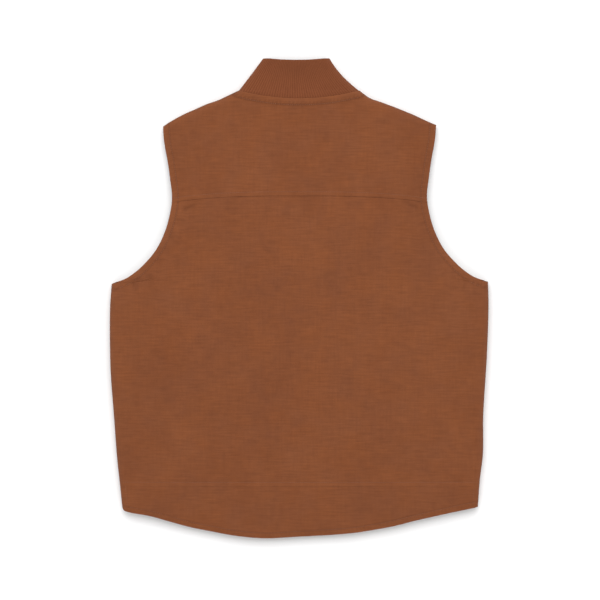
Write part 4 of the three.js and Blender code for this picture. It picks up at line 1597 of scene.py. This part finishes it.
@dataclass
class ClothPiece:
    """A panel of canvas with its stitches."""

    surface: Surface
    stitcher: Stitcher
    canvas: Material
    node: str = ""
    layer: Layer = Layer.BACK
    pitch: float = 3.0
    open_rim: float = 1.0
    seam_rim: float = 0.22
    yoke_seam_rim: float = 0.14
    tail_seam_rim: float = 0.04
    touch: float = 0.01
    closed_rim: float = 0.8
    slant_step: float = 0.004
    least_slant: float = 0.45
    across: int = 184
    opening_reach: float = 12
    underarm_share: float = 0.7
    left_lines: tuple[float, ...] = ()
    ring_points: int = 120
    rests_on: tuple[str, ...] = ("front_panel_left_canvas", "front_panel_right_canvas")

    ROLL = (0, 0.2, 0.8, 1.8, 3.1, 4.5, 5.8, 7, 8.2, 9.4, 10.6, 11.6, 12.6, 13.7, 15)
    FLAT = (0, 0.12, 0.9, 1.9, 3, 4.2, 5.3, 6.2, 7.1, 8, 8.9, 9.8, 11, 12.6)

    @property
    def outline(self) -> Outline:
        """The vest's outline."""
        return self.surface.outline

    @property
    def sizes(self) -> Pattern:
        """The vest's sizes."""
        return self.surface.outline.sizes

    def slant(self, edge: Callable[[float], Array], v: float) -> float:
        """How much further apart lines beside an edge lie along a row, where the edge runs aslant to it."""
        high = max(v, self.slant_step)
        run = edge(high) - edge(high - self.slant_step)
        return 1 / max(abs(run[1]) / float(np.linalg.norm(run)), self.least_slant)

    def lay(self, patch: Patch, rows: Array, between: Array, opened: Array) -> tuple:
        """Lays out the rows of a patch, with closer lines beside both of its sides.

        Args:
            patch: The patch.
            rows: Shares up it.
            between: Shares across between the closer lines.
            opened: How much of an open edge each row has at its sides, from 0 to 1.

        Returns:
            The lines of points, and how far the rim swells beyond each point at the sides.
        """
        lines = []
        rims = []
        for v, share in zip(rows, opened):
            width = float(np.linalg.norm(patch.left(v) - patch.right(v)))
            slants = np.array([self.slant(edge, v) for edge in (patch.left, patch.right)])
            near = [(np.array(self.ROLL) + self.open_rim * share) * slant for slant in slants]
            near[0] = np.array(self.left_lines) if self.left_lines else near[0]
            inner = lerp(near[0][-1], width - near[1][-1], between)
            across = np.concatenate([near[0], inner, width - near[1][::-1]]) / width
            lines.append(patch.row(across, v))
            rims.append(np.full(len(across), self.closed_rim))
            rims[-1][[0, -1]] = lerp(self.closed_rim, self.open_rim * slants, share)
        return lines, np.array(rims)

    def side_edge(self, side: Side, v: Numbers, fold: float, start: float, inset: float = 0) -> Array:
        """Edge of a panel that runs up the side fold and on up the armhole.

        Args:
            side: Side of the vest.
            v: Shares up the edge.
            fold: Share down the side fold where it starts.
            start: Share down the armhole where it ends.
            inset: How much further in than the back's the armhole is cut.

        Returns:
            The points.
        """
        v = np.asarray(v, float)
        under = self.outline.side_fold(side, lerp(fold, 0, np.minimum(v / self.underarm_share, 1)))
        up = np.clip((v - self.underarm_share) / (1 - self.underarm_share), 0, 1)
        over = self.outline.armhole(side, lerp(1, start, up), inset)
        return np.where((v <= self.underarm_share)[..., None], under, over)

    def arm_row(self, side: Side, start: float, end: float, count: int, inset: float = 0) -> Array:
        """Row of stitches beside an armhole.

        Args:
            side: Side of the vest.
            start: Share down the armhole where it starts.
            end: Share where it ends.
            count: How many points it has.
            inset: How much further in than the back's the armhole is cut.

        Returns:
            The points.
        """
        edge = self.outline.armhole(side, np.linspace(start, end, count), inset)
        work = self.surface.work
        return self.stitcher.inside(edge, work.armhole.width - work.stitch_inset)

    def grain(self, at: Array, rows: int, columns: int) -> Array:
        """Places on the cloth along its weft and warp, in metres.

        Args:
            at: Points of the outer face.
            rows: How many rows.
            columns: How many columns.

        Returns:
            The places, one for each point.
        """
        grid = at.reshape(rows, columns, 3)
        across = np.hypot(np.diff(grid[..., 0], axis=1), np.diff(grid[..., 2], axis=1))
        up = np.hypot(np.diff(grid[..., 1], axis=0), np.diff(grid[..., 2], axis=0))
        u = np.concatenate([np.zeros((rows, 1)), across.cumsum(1)], 1)
        v = np.concatenate([np.zeros((1, columns)), up.cumsum(0)])
        middle = columns // 2
        u = u - u[:, [middle]] + grid[:, [middle], 0]
        v = v - v[[rows // 2]] + grid[[rows // 2], :, 1]
        return np.stack([u, v], -1) * MM

    def build(self, patch: Patch, lines: list[Array], rims: Array, rows: list[Array], seed: int) -> None:
        """Makes the panel and sews it.

        Args:
            patch: What it was cut from.
            lines: Its points seen from above, a row at a time.
            rims: How far the rim swells beyond each border point.
            rows: Rows of stitches on it.
            seed: Seed of their small random turns.
        """
        s = self.sizes
        shape = (len(lines), len(lines[0]))
        skin = self.surface.skin(np.concatenate(lines), self.layer, s.seam_gap + 2 * self.closed_rim)
        grid = Grid(skin, *shape, s.body_wall, rims, self.grain(skin.at, *shape))
        mesh = Slab(grid).mesh(self.node + "_canvas")
        mesh.materials.append(self.canvas)
        obj = carried(placed(mesh.name, mesh), "duck_canvas", self.node)
        stitches = self.stitcher.sew(self.node + "_stitches", rows, self.layer, seed)
        ring = patch.ring(self.ring_points)


@dataclass
class BackYoke(ClothPiece):
    """Yoke over the shoulders, from the neck seam to the yoke seam."""

    node: str = "back_yoke"
    neck_stretch: float = 1.15
    shoulder_columns: int = 38
    ring_points: int = 60

    def columns(self) -> Array:
        """Shares across, with columns at the ends of the neck seam."""
        s = self.sizes
        reach = self.ROLL[-1] + self.open_rim
        left, right = (float(self.outline.shoulder(side, 1)[0]) for side in Side)
        wide = right - left - 2 * reach
        ends = [(float(self.outline.neck_end(side)[0]) - left - reach) / wide for side in Side]
        lines = np.array(self.ROLL) * self.neck_stretch
        neck = spaced(s.neck_width, lines, lines, self.pitch)
        shoulders = even(self.shoulder_columns)
        inner = (shoulders * ends[0], lerp(ends[0], ends[1], neck), lerp(ends[1], 1, shoulders))
        return np.concatenate(inner)

    def make(self) -> None:
        s, o = self.sizes, self.outline

        def side(which: Side) -> Line:
            """Edge at one armhole, from the yoke seam up."""
            start = o.yoke_share(which) - self.touch / s.armhole_depth
            return lambda v: o.armhole(which, lerp(start, 0, v))

        left, right = side(Side.LEFT), side(Side.RIGHT)

        def lower(u: Array) -> Array:
            """Lower edge, just above the yoke seam."""
            x = lerp(left(0)[0], right(0)[0], u)
            return spots(x, o.yoke_seam_y(x) + self.yoke_seam_rim + self.touch)

        def upper(u: Array) -> Array:
            """Upper edge: the neck seam and both shoulders.

            Args:
                u: Shares across.

            Returns:
                The points.
            """
            x = lerp(left(1)[0], right(1)[0], u)
            seam = o.neck_seam((x - s.neck_shift) / (s.neck_width / 2)) - (0, self.seam_rim + 0.05)
            for which in Side:
                neck, tip = float(o.neck_end(which)[0]), float(o.shoulder(which, 1)[0])
                out = (x - neck) / (tip - neck)
                seam = np.where((out >= 0)[:, None], o.shoulder(which, np.clip(out, 0, 1)), seam)
            return seam

        patch = Patch(lower, upper, left, right)
        rows = spaced(patch.height, np.array(self.FLAT), np.array(self.ROLL), self.pitch)
        lines, rims = self.lay(patch, rows, self.columns(), np.ones(len(rows)))
        rims[0, 1:-1] = self.yoke_seam_rim
        rims[-1, 1:-1] = self.closed_rim
        ends = [int(np.abs(lines[-1][:, 0] - o.neck_end(side)[0]).argmin()) for side in Side]
        rims[-1, ends[0] : ends[1] + 1] = self.seam_rim
        w = self.surface.work
        arms = [self.arm_row(side, 0.02, o.yoke_share(side) - 0.01, 40) for side in Side]
        neck = o.neck_seam(np.linspace(-0.97, 0.97, 60)) - (0, w.neck.width - w.stitch_inset)
        x = np.linspace(left(0)[0] + 2, right(0)[0] - 2, 120)
        seam = spots(x, o.yoke_seam_y(x) + w.yoke.width - w.stitch_inset)
        self.build(patch, lines, rims, [*arms, neck, seam], 3)


@dataclass
class BackPanel(ClothPiece):
    """Main panel of the back, from the yoke seam down to the tail seam."""

    node: str = "back_panel"

    def make(self) -> None:
        s, o = self.sizes, self.outline
        low = s.tail_seam_y + self.tail_seam_rim + self.touch

        def side(which: Side) -> Line:
            """Edge on one side, from the tail seam up to the yoke seam.

            Args:
                which: Side of the vest.

            Returns:
                The edge.
            """
            top = o.underarm_y(which)
            fold = (low - top) / (float(o.hem_y(which.value)) - top)
            start = o.yoke_share(which) + self.touch / s.armhole_depth
            return lambda v: self.side_edge(which, v, fold, start)

        left, right = side(Side.LEFT), side(Side.RIGHT)

        def lower(u: Array) -> Array:
            """Lower edge, just above the tail seam."""
            return spots(lerp(left(0)[0], right(0)[0], u), low)

        def upper(u: Array) -> Array:
            """Upper edge, just below the yoke seam."""
            x = lerp(left(1)[0], right(1)[0], u)
            return spots(x, o.yoke_seam_y(x) - self.yoke_seam_rim - self.touch)

        patch = Patch(lower, upper, left, right)
        flat = np.array(self.FLAT)
        height = patch.height
        body = spaced(height * self.underarm_share, flat, np.array([0.0]), self.pitch) * self.underarm_share
        over = spaced(height * (1 - self.underarm_share), np.array([0.0]), flat, self.pitch)
        arms = lerp(self.underarm_share, 1, over[1:])
        rows = np.concatenate([body, arms])
        opened = soft_step((rows - self.underarm_share) * height / self.opening_reach)
        lines, rims = self.lay(patch, rows, even(self.across), opened)
        rims[0] = self.tail_seam_rim
        rims[-1, 1:-1] = self.yoke_seam_rim
        w = self.surface.work
        rows = [self.arm_row(which, o.yoke_share(which) + 0.01, 0.985, 90) for which in Side]
        x = np.linspace(left(0)[0] + 3, right(0)[0] - 3, 160)
        rows.append(spots(x, s.tail_seam_y + w.tail.width - w.stitch_inset))
        self.build(patch, lines, rims, rows, 7)


@dataclass
class BackTail(ClothPiece):
    """Drop tail, from the tail seam down to the curved hem."""

    node: str = "back_tail"
    left_corner: float = 7

    def make(self) -> None:
        s, o = self.sizes, self.outline
        high = s.tail_seam_y - self.tail_seam_rim - self.touch

        def side(which: Side) -> Line:
            """Edge on one side, from the hem up to the tail seam.

            Args:
                which: Side of the vest.

            Returns:
                The edge.
            """
            top = o.underarm_y(which)
            bottom = float(o.hem_y(which.value))
            share = (high - top) / (bottom - top)
            low = 1 - self.open_rim / (top - bottom)
            corner = self.left_corner if which is Side.LEFT else 0

            def at(v: Array) -> Array:
                """Points at shares up the edge, with its rounded corner.

                Args:
                    v: Shares up.

                Returns:
                    The points.
                """
                edge = o.side_fold(which, lerp(low, share, v))
                short = np.clip(corner - (edge[..., 1] - bottom - self.open_rim), 0, corner)
                return edge + spots(corner - np.sqrt(corner**2 - short**2), 0)

            return at

        left, right = side(Side.LEFT), side(Side.RIGHT)
        ends = [float(o.side_fold(which, 1)[0]) for which in Side]

        def lower(u: Array) -> Array:
            """Lower edge, along the hem."""
            x = lerp(left(0)[0], right(0)[0], u)
            return spots(x, o.hem_y(2 * (x - ends[0]) / (ends[1] - ends[0]) - 1) + self.open_rim)

        def upper(u: Array) -> Array:
            """Upper edge, just below the tail seam."""
            return spots(lerp(left(1)[0], right(1)[0], u), high)

        patch = Patch(lower, upper, left, right)
        rows = spaced(patch.height, np.array(self.FLAT), np.array(self.FLAT), self.pitch)
        lines, rims = self.lay(patch, rows, even(self.across), np.zeros(len(rows)))
        rims[0] = self.open_rim
        rims[-1] = self.tail_seam_rim
        w = self.surface.work
        run = np.linspace(0.012, 0.988, 200)
        hem = lower(run) + (0, w.hem.width - w.stitch_inset - self.open_rim)
        rows = [hem]
        for which, inward in ((left, 1), (right, -1)):
            up = np.linspace(0.16, 0.98, 20)
            rows.append(which(up) + (inward * w.side_stitch, 0))
        self.build(patch, lines, rims, rows, 11)


@dataclass
class FrontPanel(ClothPiece):
    """Half of the front, from the zip out to the side fold and the armhole, and up to the shoulder."""

    layer: Layer = Layer.FRONT
    side: Side = Side.LEFT
    underarm_share: float = 0.5
    neck_share: float = 0.8
    across: int = 80
    left_lines: tuple[float, ...] = (0, 1.2, 2.6, 4, 5.2, 6.2, 7.2, 8.4, 10)
    side_length: float = 400
    rests_on: tuple[str, ...] = ("floor",)

    def __post_init__(self) -> None:
        """Names the half after its side."""
        self.node = f"front_panel_{self.side.name.lower()}"

    def make(self) -> None:
        s, o, side = self.sizes, self.outline, self.side
        zip_x = s.zip_open_width / 2 + self.open_rim
        low = s.front_hem_y + self.open_rim
        top = o.underarm_y(side)
        fold_end = (top - low) / (top - float(o.hem_y(side.value)))

        def outer(v: Array) -> Array:
            """Outer edge, up the side fold and the armhole."""
            return self.side_edge(side, v, fold_end, 0, s.front_armhole_inset)

        def inner(v: Array) -> Array:
            """Inner edge, up the zip and round the neck.

            Args:
                v: Shares up.

            Returns:
                The points.
            """
            v = np.asarray(v, float)
            neck_top = s.front_neck_y - s.seam_gap - self.seam_rim
            edge = spots(side.value * zip_x, lerp(low, neck_top, np.minimum(v / self.neck_share, 1)))
            turn = np.clip(1 - (v - self.neck_share) / (1 - self.neck_share), 0, 1)
            angle = turn * math.pi / 2
            away = spots(side.value * np.cos(angle), -np.sin(angle)) * (s.seam_gap + self.seam_rim)
            neck = o.front_neck(side, turn) + away + spots(side.value * self.open_rim * turn, 0)
            return np.where((v <= self.neck_share)[..., None], edge, neck)

        def lower(u: Array) -> Array:
            """Lower edge, along the front hem."""
            return lerp(inner(0), outer(0), u[:, None])

        def upper(u: Array) -> Array:
            """Upper edge, along the shoulder."""
            return np.where((u == 0)[:, None], inner(1), o.shoulder(side, u))

        patch = Patch(lower, upper, inner, outer)
        neck_length = runs(o.front_neck(side, np.linspace(0, 1, 25)))
        neck_rows = spaced(neck_length, np.array([0.0]), np.array(self.ROLL), self.pitch)
        body_length = (self.underarm_share / self.neck_share) * (s.front_neck_y - low)
        body = spaced(body_length, np.array(self.FLAT), np.array([0.0]), self.pitch) * self.underarm_share
        chest_steps = round((s.front_neck_y - low) * (1 - self.underarm_share / self.neck_share) / self.pitch)
        chest = lerp(self.underarm_share, self.neck_share, np.append(even(chest_steps), 1) ** 1.3)
        rows = np.concatenate([body, chest, lerp(self.neck_share, 1, neck_rows[1:])])
        opened = soft_step((rows - self.underarm_share) * self.side_length / self.opening_reach)
        lines, rims = self.lay(patch, rows, even(self.across), opened)
        rims[0, :-1] = self.open_rim
        rims[:, 0] = np.where(rows <= self.neck_share, self.open_rim, self.seam_rim)
        rims[-1] = self.closed_rim
        w = self.surface.work
        y = np.linspace(low + 10, s.front_neck_y - 4, 120)
        seam_x = side.value * (s.zip_open_width / 2 + w.front.width - w.stitch_inset)
        hem_x = side.value * np.linspace(zip_x + 8, abs(float(outer(0)[0])) - 8, 60)
        arm = self.arm_row(side, 0.02, 0.985, 120, s.front_armhole_inset)
        hem = spots(hem_x, s.front_hem_y + w.hem.width - w.stitch_inset)
        self.build(patch, lines, rims, [spots(seam_x, y), hem, arm], 13 + side.value)


@dataclass
class Collar:
    """Rib-knit collar: one strip from the zip round a side fold, across the back and round the other fold."""

    surface: Surface
    knit: Material
    node: str = "collar"
    lines_a_rib: int = 6
    row_pitch: float = 2.4
    rib_depth: float = 0.75
    top_rim: float = 2.0
    seam_rim: float = 0.3
    seam_lift: float = -0.15
    seam_line: float = 0.2

    def make(self) -> None:
        o = self.surface.outline
        s = o.sizes
        back_ribs = round((s.neck_width + s.collar_top_width) / 2 / s.rib_pitch)
        run = np.linspace(0, 1, 25)
        seam_length = runs(o.front_neck(Side.RIGHT, run))
        top_length = runs(o.front_collar_top(Side.RIGHT, run))
        front_ribs = round((seam_length + top_length) / 2 / s.rib_pitch)
        turn = np.arange(front_ribs * self.lines_a_rib) / (front_ribs * self.lines_a_rib)
        across = np.linspace(-1, 1, back_ribs * self.lines_a_rib + 1)
        first = (self.seam_rim + self.seam_lift) / s.collar_height
        last = 1 - self.top_rim / s.collar_height
        rows = lerp(first, last, np.linspace(0, 1, round(s.collar_height / self.row_pitch) + 1))
        rows = np.insert(rows, 1, first + self.seam_line / s.collar_height)
        lines = [self._row(v, turn, across) for v in rows]
        at = np.array([line[0] for line in lines])
        count = at.shape[1]
        step = s.rib_pitch / self.lines_a_rib
        along = (np.arange(count) - (count - 1) / 2) * step
        along = along + s.rib_pitch / 2 * (back_ribs % 2)
        out = np.array([line[1] for line in lines])
        fold = np.exp(-(1 - rows[:, None]) * s.collar_height / 3) * np.ones(count)
        skin = Skin(at.reshape(-1, 3), out.reshape(-1, 3), fold.ravel())
        uv = np.stack(np.broadcast_arrays(along[None], (rows * s.collar_height)[:, None]), -1) * MM
        rims = np.full((len(rows), count), self.top_rim)
        rims[0] = self.seam_rim
        grid = Grid(skin, len(rows), count, s.collar_wall, rims, uv)
        slab = Slab(grid)
        mesh = slab.mesh("collar_rib_knit")
        self._mark(mesh, slab, grid)
        obj = placed(mesh.name, mesh)
        tree = rib_tree()
        obj = worked(obj, tree, Rib_Pitch=s.rib_pitch * MM, Rib_Depth=self.rib_depth * MM, Material=self.knit)
        carried(obj, "rib_knit", self.node)

    def _row(self, v: float, turn: Array, across: Array) -> tuple[Array, Array]:
        """One row of the strip, from the zip on the left to the zip on the right.

        Args:
            v: Share up the collar.
            turn: Places round the right half of the front, from the fold on.
            across: Places across the back.

        Returns:
            Its points and outward normals.
        """
        o = self.surface.outline
        parts = []
        for side in Side:
            round_turn = np.append(turn, 1.0)[1:]
            if side is Side.LEFT:
                round_turn = round_turn[::-1]
            at = lerp(o.front_neck(side, round_turn), o.front_collar_top(side, round_turn), v)
            bow = o.collar_bow(side) * 4 * v * (1 - v) * (1 - round_turn)
            parts.append(self.surface.skin(at - spots(side.value * bow, 0), Layer.FRONT, 0))
        at = lerp(o.neck_seam(across), o.collar_top(across), v)
        bows = np.where(across < 0, o.collar_bow(Side.LEFT), o.collar_bow(Side.RIGHT))
        back = self.surface.skin(at - spots(across * bows * 4 * v * (1 - v), 0), Layer.BACK, 0)
        parts.insert(1, back)
        return np.concatenate([part.at for part in parts]), np.concatenate([part.out for part in parts])

    def _mark(self, mesh: Mesh, slab: Slab, grid: Grid) -> None:
        """Gives each vertex what the ribs need: its length along the strip and the way out of the cloth.

        Args:
            mesh: The collar's mesh.
            slab: The slab it was made from.
            grid: Its grid.
        """
        count = grid.rows * grid.columns
        index = np.arange(count).reshape(grid.rows, grid.columns)
        ring, _ = Slab._ring(index)
        out = grid.skin.out
        layers = [out, -out]
        for degrees in Slab.RIM_TURNS:
            layers.append(out[ring] * math.sin(math.radians(degrees)))
        along = mesh.attributes.new("along", "FLOAT", "POINT")
        along.data.foreach_set("value", slab.grain[:, 0].astype(np.float32))
        way = mesh.attributes.new("out", "FLOAT_VECTOR", "POINT")
        way.data.foreach_set("vector", np.concatenate(layers).ravel().astype(np.float32))


@dataclass
class FrontZip:
    """Closed zip down the front: its tape, two rows of teeth, the slider and its pull."""

    outline: Outline
    wardrobe: Wardrobe
    tape_width: float = 34
    tape_wall: float = 1
    tape_low: float = 4.5
    tooth_pitch: float = 2.6
    tooth_z: float = 3.2
    row_x: float = 1.25
    slider_length: float = 11
    slider_width: float = 10
    slider_wall: float = 1.3
    pull_length: float = 26
    pull_width: float = 7
    pull_low: float = 0.02
    pull_high: float = 0.62
    lift: float = 0.3
    round_steps: int = 33
    bevel: float = 0.25
    sharp_angle: float = 35

    def make(self) -> None:
        """Builds and dresses the zip."""
        tape = self._tape()
        self._teeth()
        self._slider()
        self._pull()
        s = self.outline.sizes

    def _tape(self) -> Object:
        """Woven tape with a bead along the teeth."""
        s = self.outline.sizes
        x = np.array([-17, -16.4, -12, -8, -5, -3.6, -2.6, -1, 1, 2.6, 3.6, 5, 8, 12, 16.4, 17])
        x = x * self.tape_width / 34
        y = np.linspace(s.front_hem_y, s.collar_front_top_y, 200)
        bead = 0.25 * np.exp(-(((np.abs(x) - 3) / 1.2) ** 2))
        grid_x, grid_y = np.meshgrid(x, y)
        z = np.full_like(grid_x, self.tape_low) - bead
        at = np.stack([grid_x, grid_y, z], -1).reshape(-1, 3)
        out = np.tile((0.0, 0.0, -1.0), (len(at), 1))
        uv = at[:, :2] * MM
        rims = np.full((len(y), len(x)), 0.2)
        skin = Skin(at, out, np.zeros(len(at)))
        mesh = Slab(Grid(skin, len(y), len(x), self.tape_wall, rims, uv)).mesh("zip_tape")
        mesh.materials.append(self.wardrobe.tape)
        return carried(placed("zip_tape", mesh), "zip", "front_zip")

    def _teeth(self) -> None:
        """Two rows of teeth that close into each other."""
        s = self.outline.sizes
        points = []
        joins = []
        out = []
        for side, shift in ((Side.LEFT, 0), (Side.RIGHT, self.tooth_pitch / 2)):
            x = side.value * self.row_x
            ends = (s.front_hem_y + 4 + shift, s.collar_front_top_y - 9 + shift)
            ends = ends if side is Side.LEFT else ends[::-1]
            joins.append((len(points), len(points) + 1))
            points += [(x, y, self.tooth_z) for y in ends]
            out += [(0.0, 0.0, 1.0)] * 2
        mesh = bpy.data.meshes.new("zip_teeth")
        mesh.from_pydata((np.array(points) * MM).tolist(), joins, [])
        way = mesh.attributes.new("out", "FLOAT_VECTOR", "POINT")
        way.data.foreach_set("vector", np.array(out).ravel().astype(np.float32))
        obj = worked(placed("zip_teeth", mesh), tooth_tree(), Seed=5, Material=self.wardrobe.brass)
        carried(obj, "zip")

    def _plate(
        self, width: float, length: float, end_y: float, low: float, high: float, taper: float
    ) -> bmesh.types.BMesh:
        """Plate with round ends along the zip.

        Args:
            width: Width.
            length: Length.
            end_y: Y of its upper end.
            low: Z of its underside.
            high: Z of its top.
            taper: Width of its lower end as a share of the upper.

        Returns:
            The closed plate.
        """
        made = bmesh.new()
        ring = []
        low_radius = width / 2 * taper
        rounds = ((0, width / 2, end_y - width / 2), (math.pi, low_radius, end_y - length + low_radius))
        for start, radius, centre in rounds:
            for turn in start + np.linspace(0, math.pi, self.round_steps):
                ring.append((radius * math.cos(turn), centre + radius * math.sin(turn)))
        base = made.faces.new([made.verts.new((x * MM, y * MM, low * MM)) for x, y in ring])
        grown = bmesh.ops.extrude_face_region(made, geom=[base])
        top = [v for v in grown["geom"] if isinstance(v, bmesh.types.BMVert)]
        bmesh.ops.translate(made, vec=Vector((0, 0, (high - low) * MM)), verts=top)
        edges = [e for e in made.edges if abs(e.verts[0].co.z - e.verts[1].co.z) < 1e-7]
        bmesh.ops.bevel(made, geom=edges, offset=self.bevel * MM, segments=2, affect="EDGES", profile=0.5)
        bmesh.ops.recalc_face_normals(made, faces=made.faces)
        return made

    def _metal(self, name: str, plates: list[bmesh.types.BMesh]) -> None:
        """Makes one brass piece of some plates.

        Args:
            name: Name of the piece.
            plates: Closed plates, which are freed.
        """
        whole = bmesh.new()
        for plate in plates:
            part = bpy.data.meshes.new("part")
            plate.to_mesh(part)
            plate.free()
            whole.from_mesh(part)
            bpy.data.meshes.remove(part)
        mesh = bpy.data.meshes.new(name)
        whole.to_mesh(mesh)
        whole.free()
        mesh.shade_smooth()
        mesh.set_sharp_from_angle(angle=math.radians(self.sharp_angle))
        mesh.materials.append(self.wardrobe.brass)
        carried(placed(name, mesh), "zip")

    def _slider(self) -> None:
        """Slider body: two plates round the teeth with a bridge between them."""
        top = self.outline.sizes.collar_front_top_y - self.slider_length
        low = self.lift
        high = self.tape_low + self.tape_wall
        wall = self.slider_wall
        width, length = self.slider_width, self.slider_length
        plates = [
            self._plate(width, length, top, low + 0.35, low + wall, 0.8),
            self._plate(width, length, top, high + 0.1, high + wall, 0.8),
            self._plate(width * 0.3, length * 0.3, top - 0.6, low + 0.5, high + wall - 0.3, 1),
        ]
        self._metal("zip_slider", plates)

    def _pull(self) -> None:
        """Flat pull that hangs down from the slider."""
        top = self.outline.sizes.collar_front_top_y - self.slider_length - self.slider_width / 2
        plate = self._plate(self.pull_width, self.pull_length, top, self.pull_low, self.pull_high, 0.9)
        self._metal("zip_pull", [plate])


@dataclass
class Studio:
    """Pale floor, soft light and a camera that looks straight down."""

    floor_size: float = 8
    floor_shade: Colour = (0.9, 0.9, 0.9, 1)
    sky: float = 0.915
    lamp_power: float = 251
    lamp_size: float = 5
    lamp_at: tuple[float, float, float] = (-0.2, 3.2, 5.8)
    picture_width: float = 0.9683
    picture_centre: tuple[float, float] = (0.0008, -0.0028)
    camera_height: float = 4.0
    sharp_height: float = 0.012
    sensor: float = 36

    def make(self) -> None:
        """Builds the floor, the light and the camera."""
        self._floor()
        self._light()
        self._camera()

    def _floor(self) -> None:
        """Plain pale floor just under the vest."""
        half = self.floor_size / 2
        mesh = bpy.data.meshes.new("floor")
        corners = [(-half, -half, 0), (half, -half, 0), (half, half, 0), (-half, half, 0)]
        mesh.from_pydata(corners, [], [(0, 1, 2, 3)])
        mesh.transform(Matrix.Translation((0, 0, -0.0002)))
        material = shader("pale_floor", Base_Color=self.floor_shade, Roughness=1, Specular_IOR_Level=0)[0]
        mesh.materials.append(material)
        placed("floor", mesh)

    def _light(self) -> None:
        """Even sky and one large soft lamp beyond the collar."""
        world = bpy.data.worlds.new("studio_sky")
        bpy.context.scene.world = world
        world.use_nodes = True
        sky = world.node_tree.nodes["Background"]
        sky.inputs["Color"].default_value = (1, 1, 1, 1)
        sky.inputs["Strength"].default_value = self.sky
        lamp = bpy.data.lights.new("soft_lamp", "AREA")
        lamp.shape = "SQUARE"
        lamp.size = self.lamp_size
        lamp.energy = self.lamp_power
        obj = bpy.data.objects.new("soft_lamp", lamp)
        obj.location = self.lamp_at
        obj.rotation_euler = Vector(self.lamp_at).to_track_quat("Z", "Y").to_euler()
        bpy.context.scene.collection.objects.link(obj)
        bpy.context.scene.view_settings.view_transform = "Standard"

    def _camera(self) -> None:
        """Camera over the middle of the picture, with the collar at the top."""
        camera = bpy.data.cameras.new("camera")
        camera.sensor_width = self.sensor
        camera.lens = self.sensor * self.camera_height / self.picture_width
        obj = bpy.data.objects.new("camera", camera)
        obj.location = (*self.picture_centre, self.camera_height + self.sharp_height)
        bpy.context.scene.collection.objects.link(obj)
        bpy.context.scene.camera = obj


def corners(box: tuple[Vector, Vector]) -> list[list[float]]:
    """Lowest and highest corners of a box as plain lists."""
    return [list(corner) for corner in box]


def main() -> None:
    """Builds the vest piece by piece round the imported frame."""
    logging.basicConfig(level=logging.INFO, format="%(message)s")
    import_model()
    Studio().make()
    wardrobe = Wardrobe()
    outline = Outline(Pattern())
    surface = Surface(outline, Needlework())
    stitcher = Stitcher(surface, wardrobe.thread)
    for half in Side:
        FrontPanel(surface, stitcher, wardrobe.canvas, side=half).make()
    FrontZip(outline, wardrobe).make()
    for panel in (BackTail, BackPanel, BackYoke):
        panel(surface, stitcher, wardrobe.canvas).make()
    Collar(surface, wardrobe.knit).make()
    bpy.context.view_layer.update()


if __name__ == "__main__":
    main()
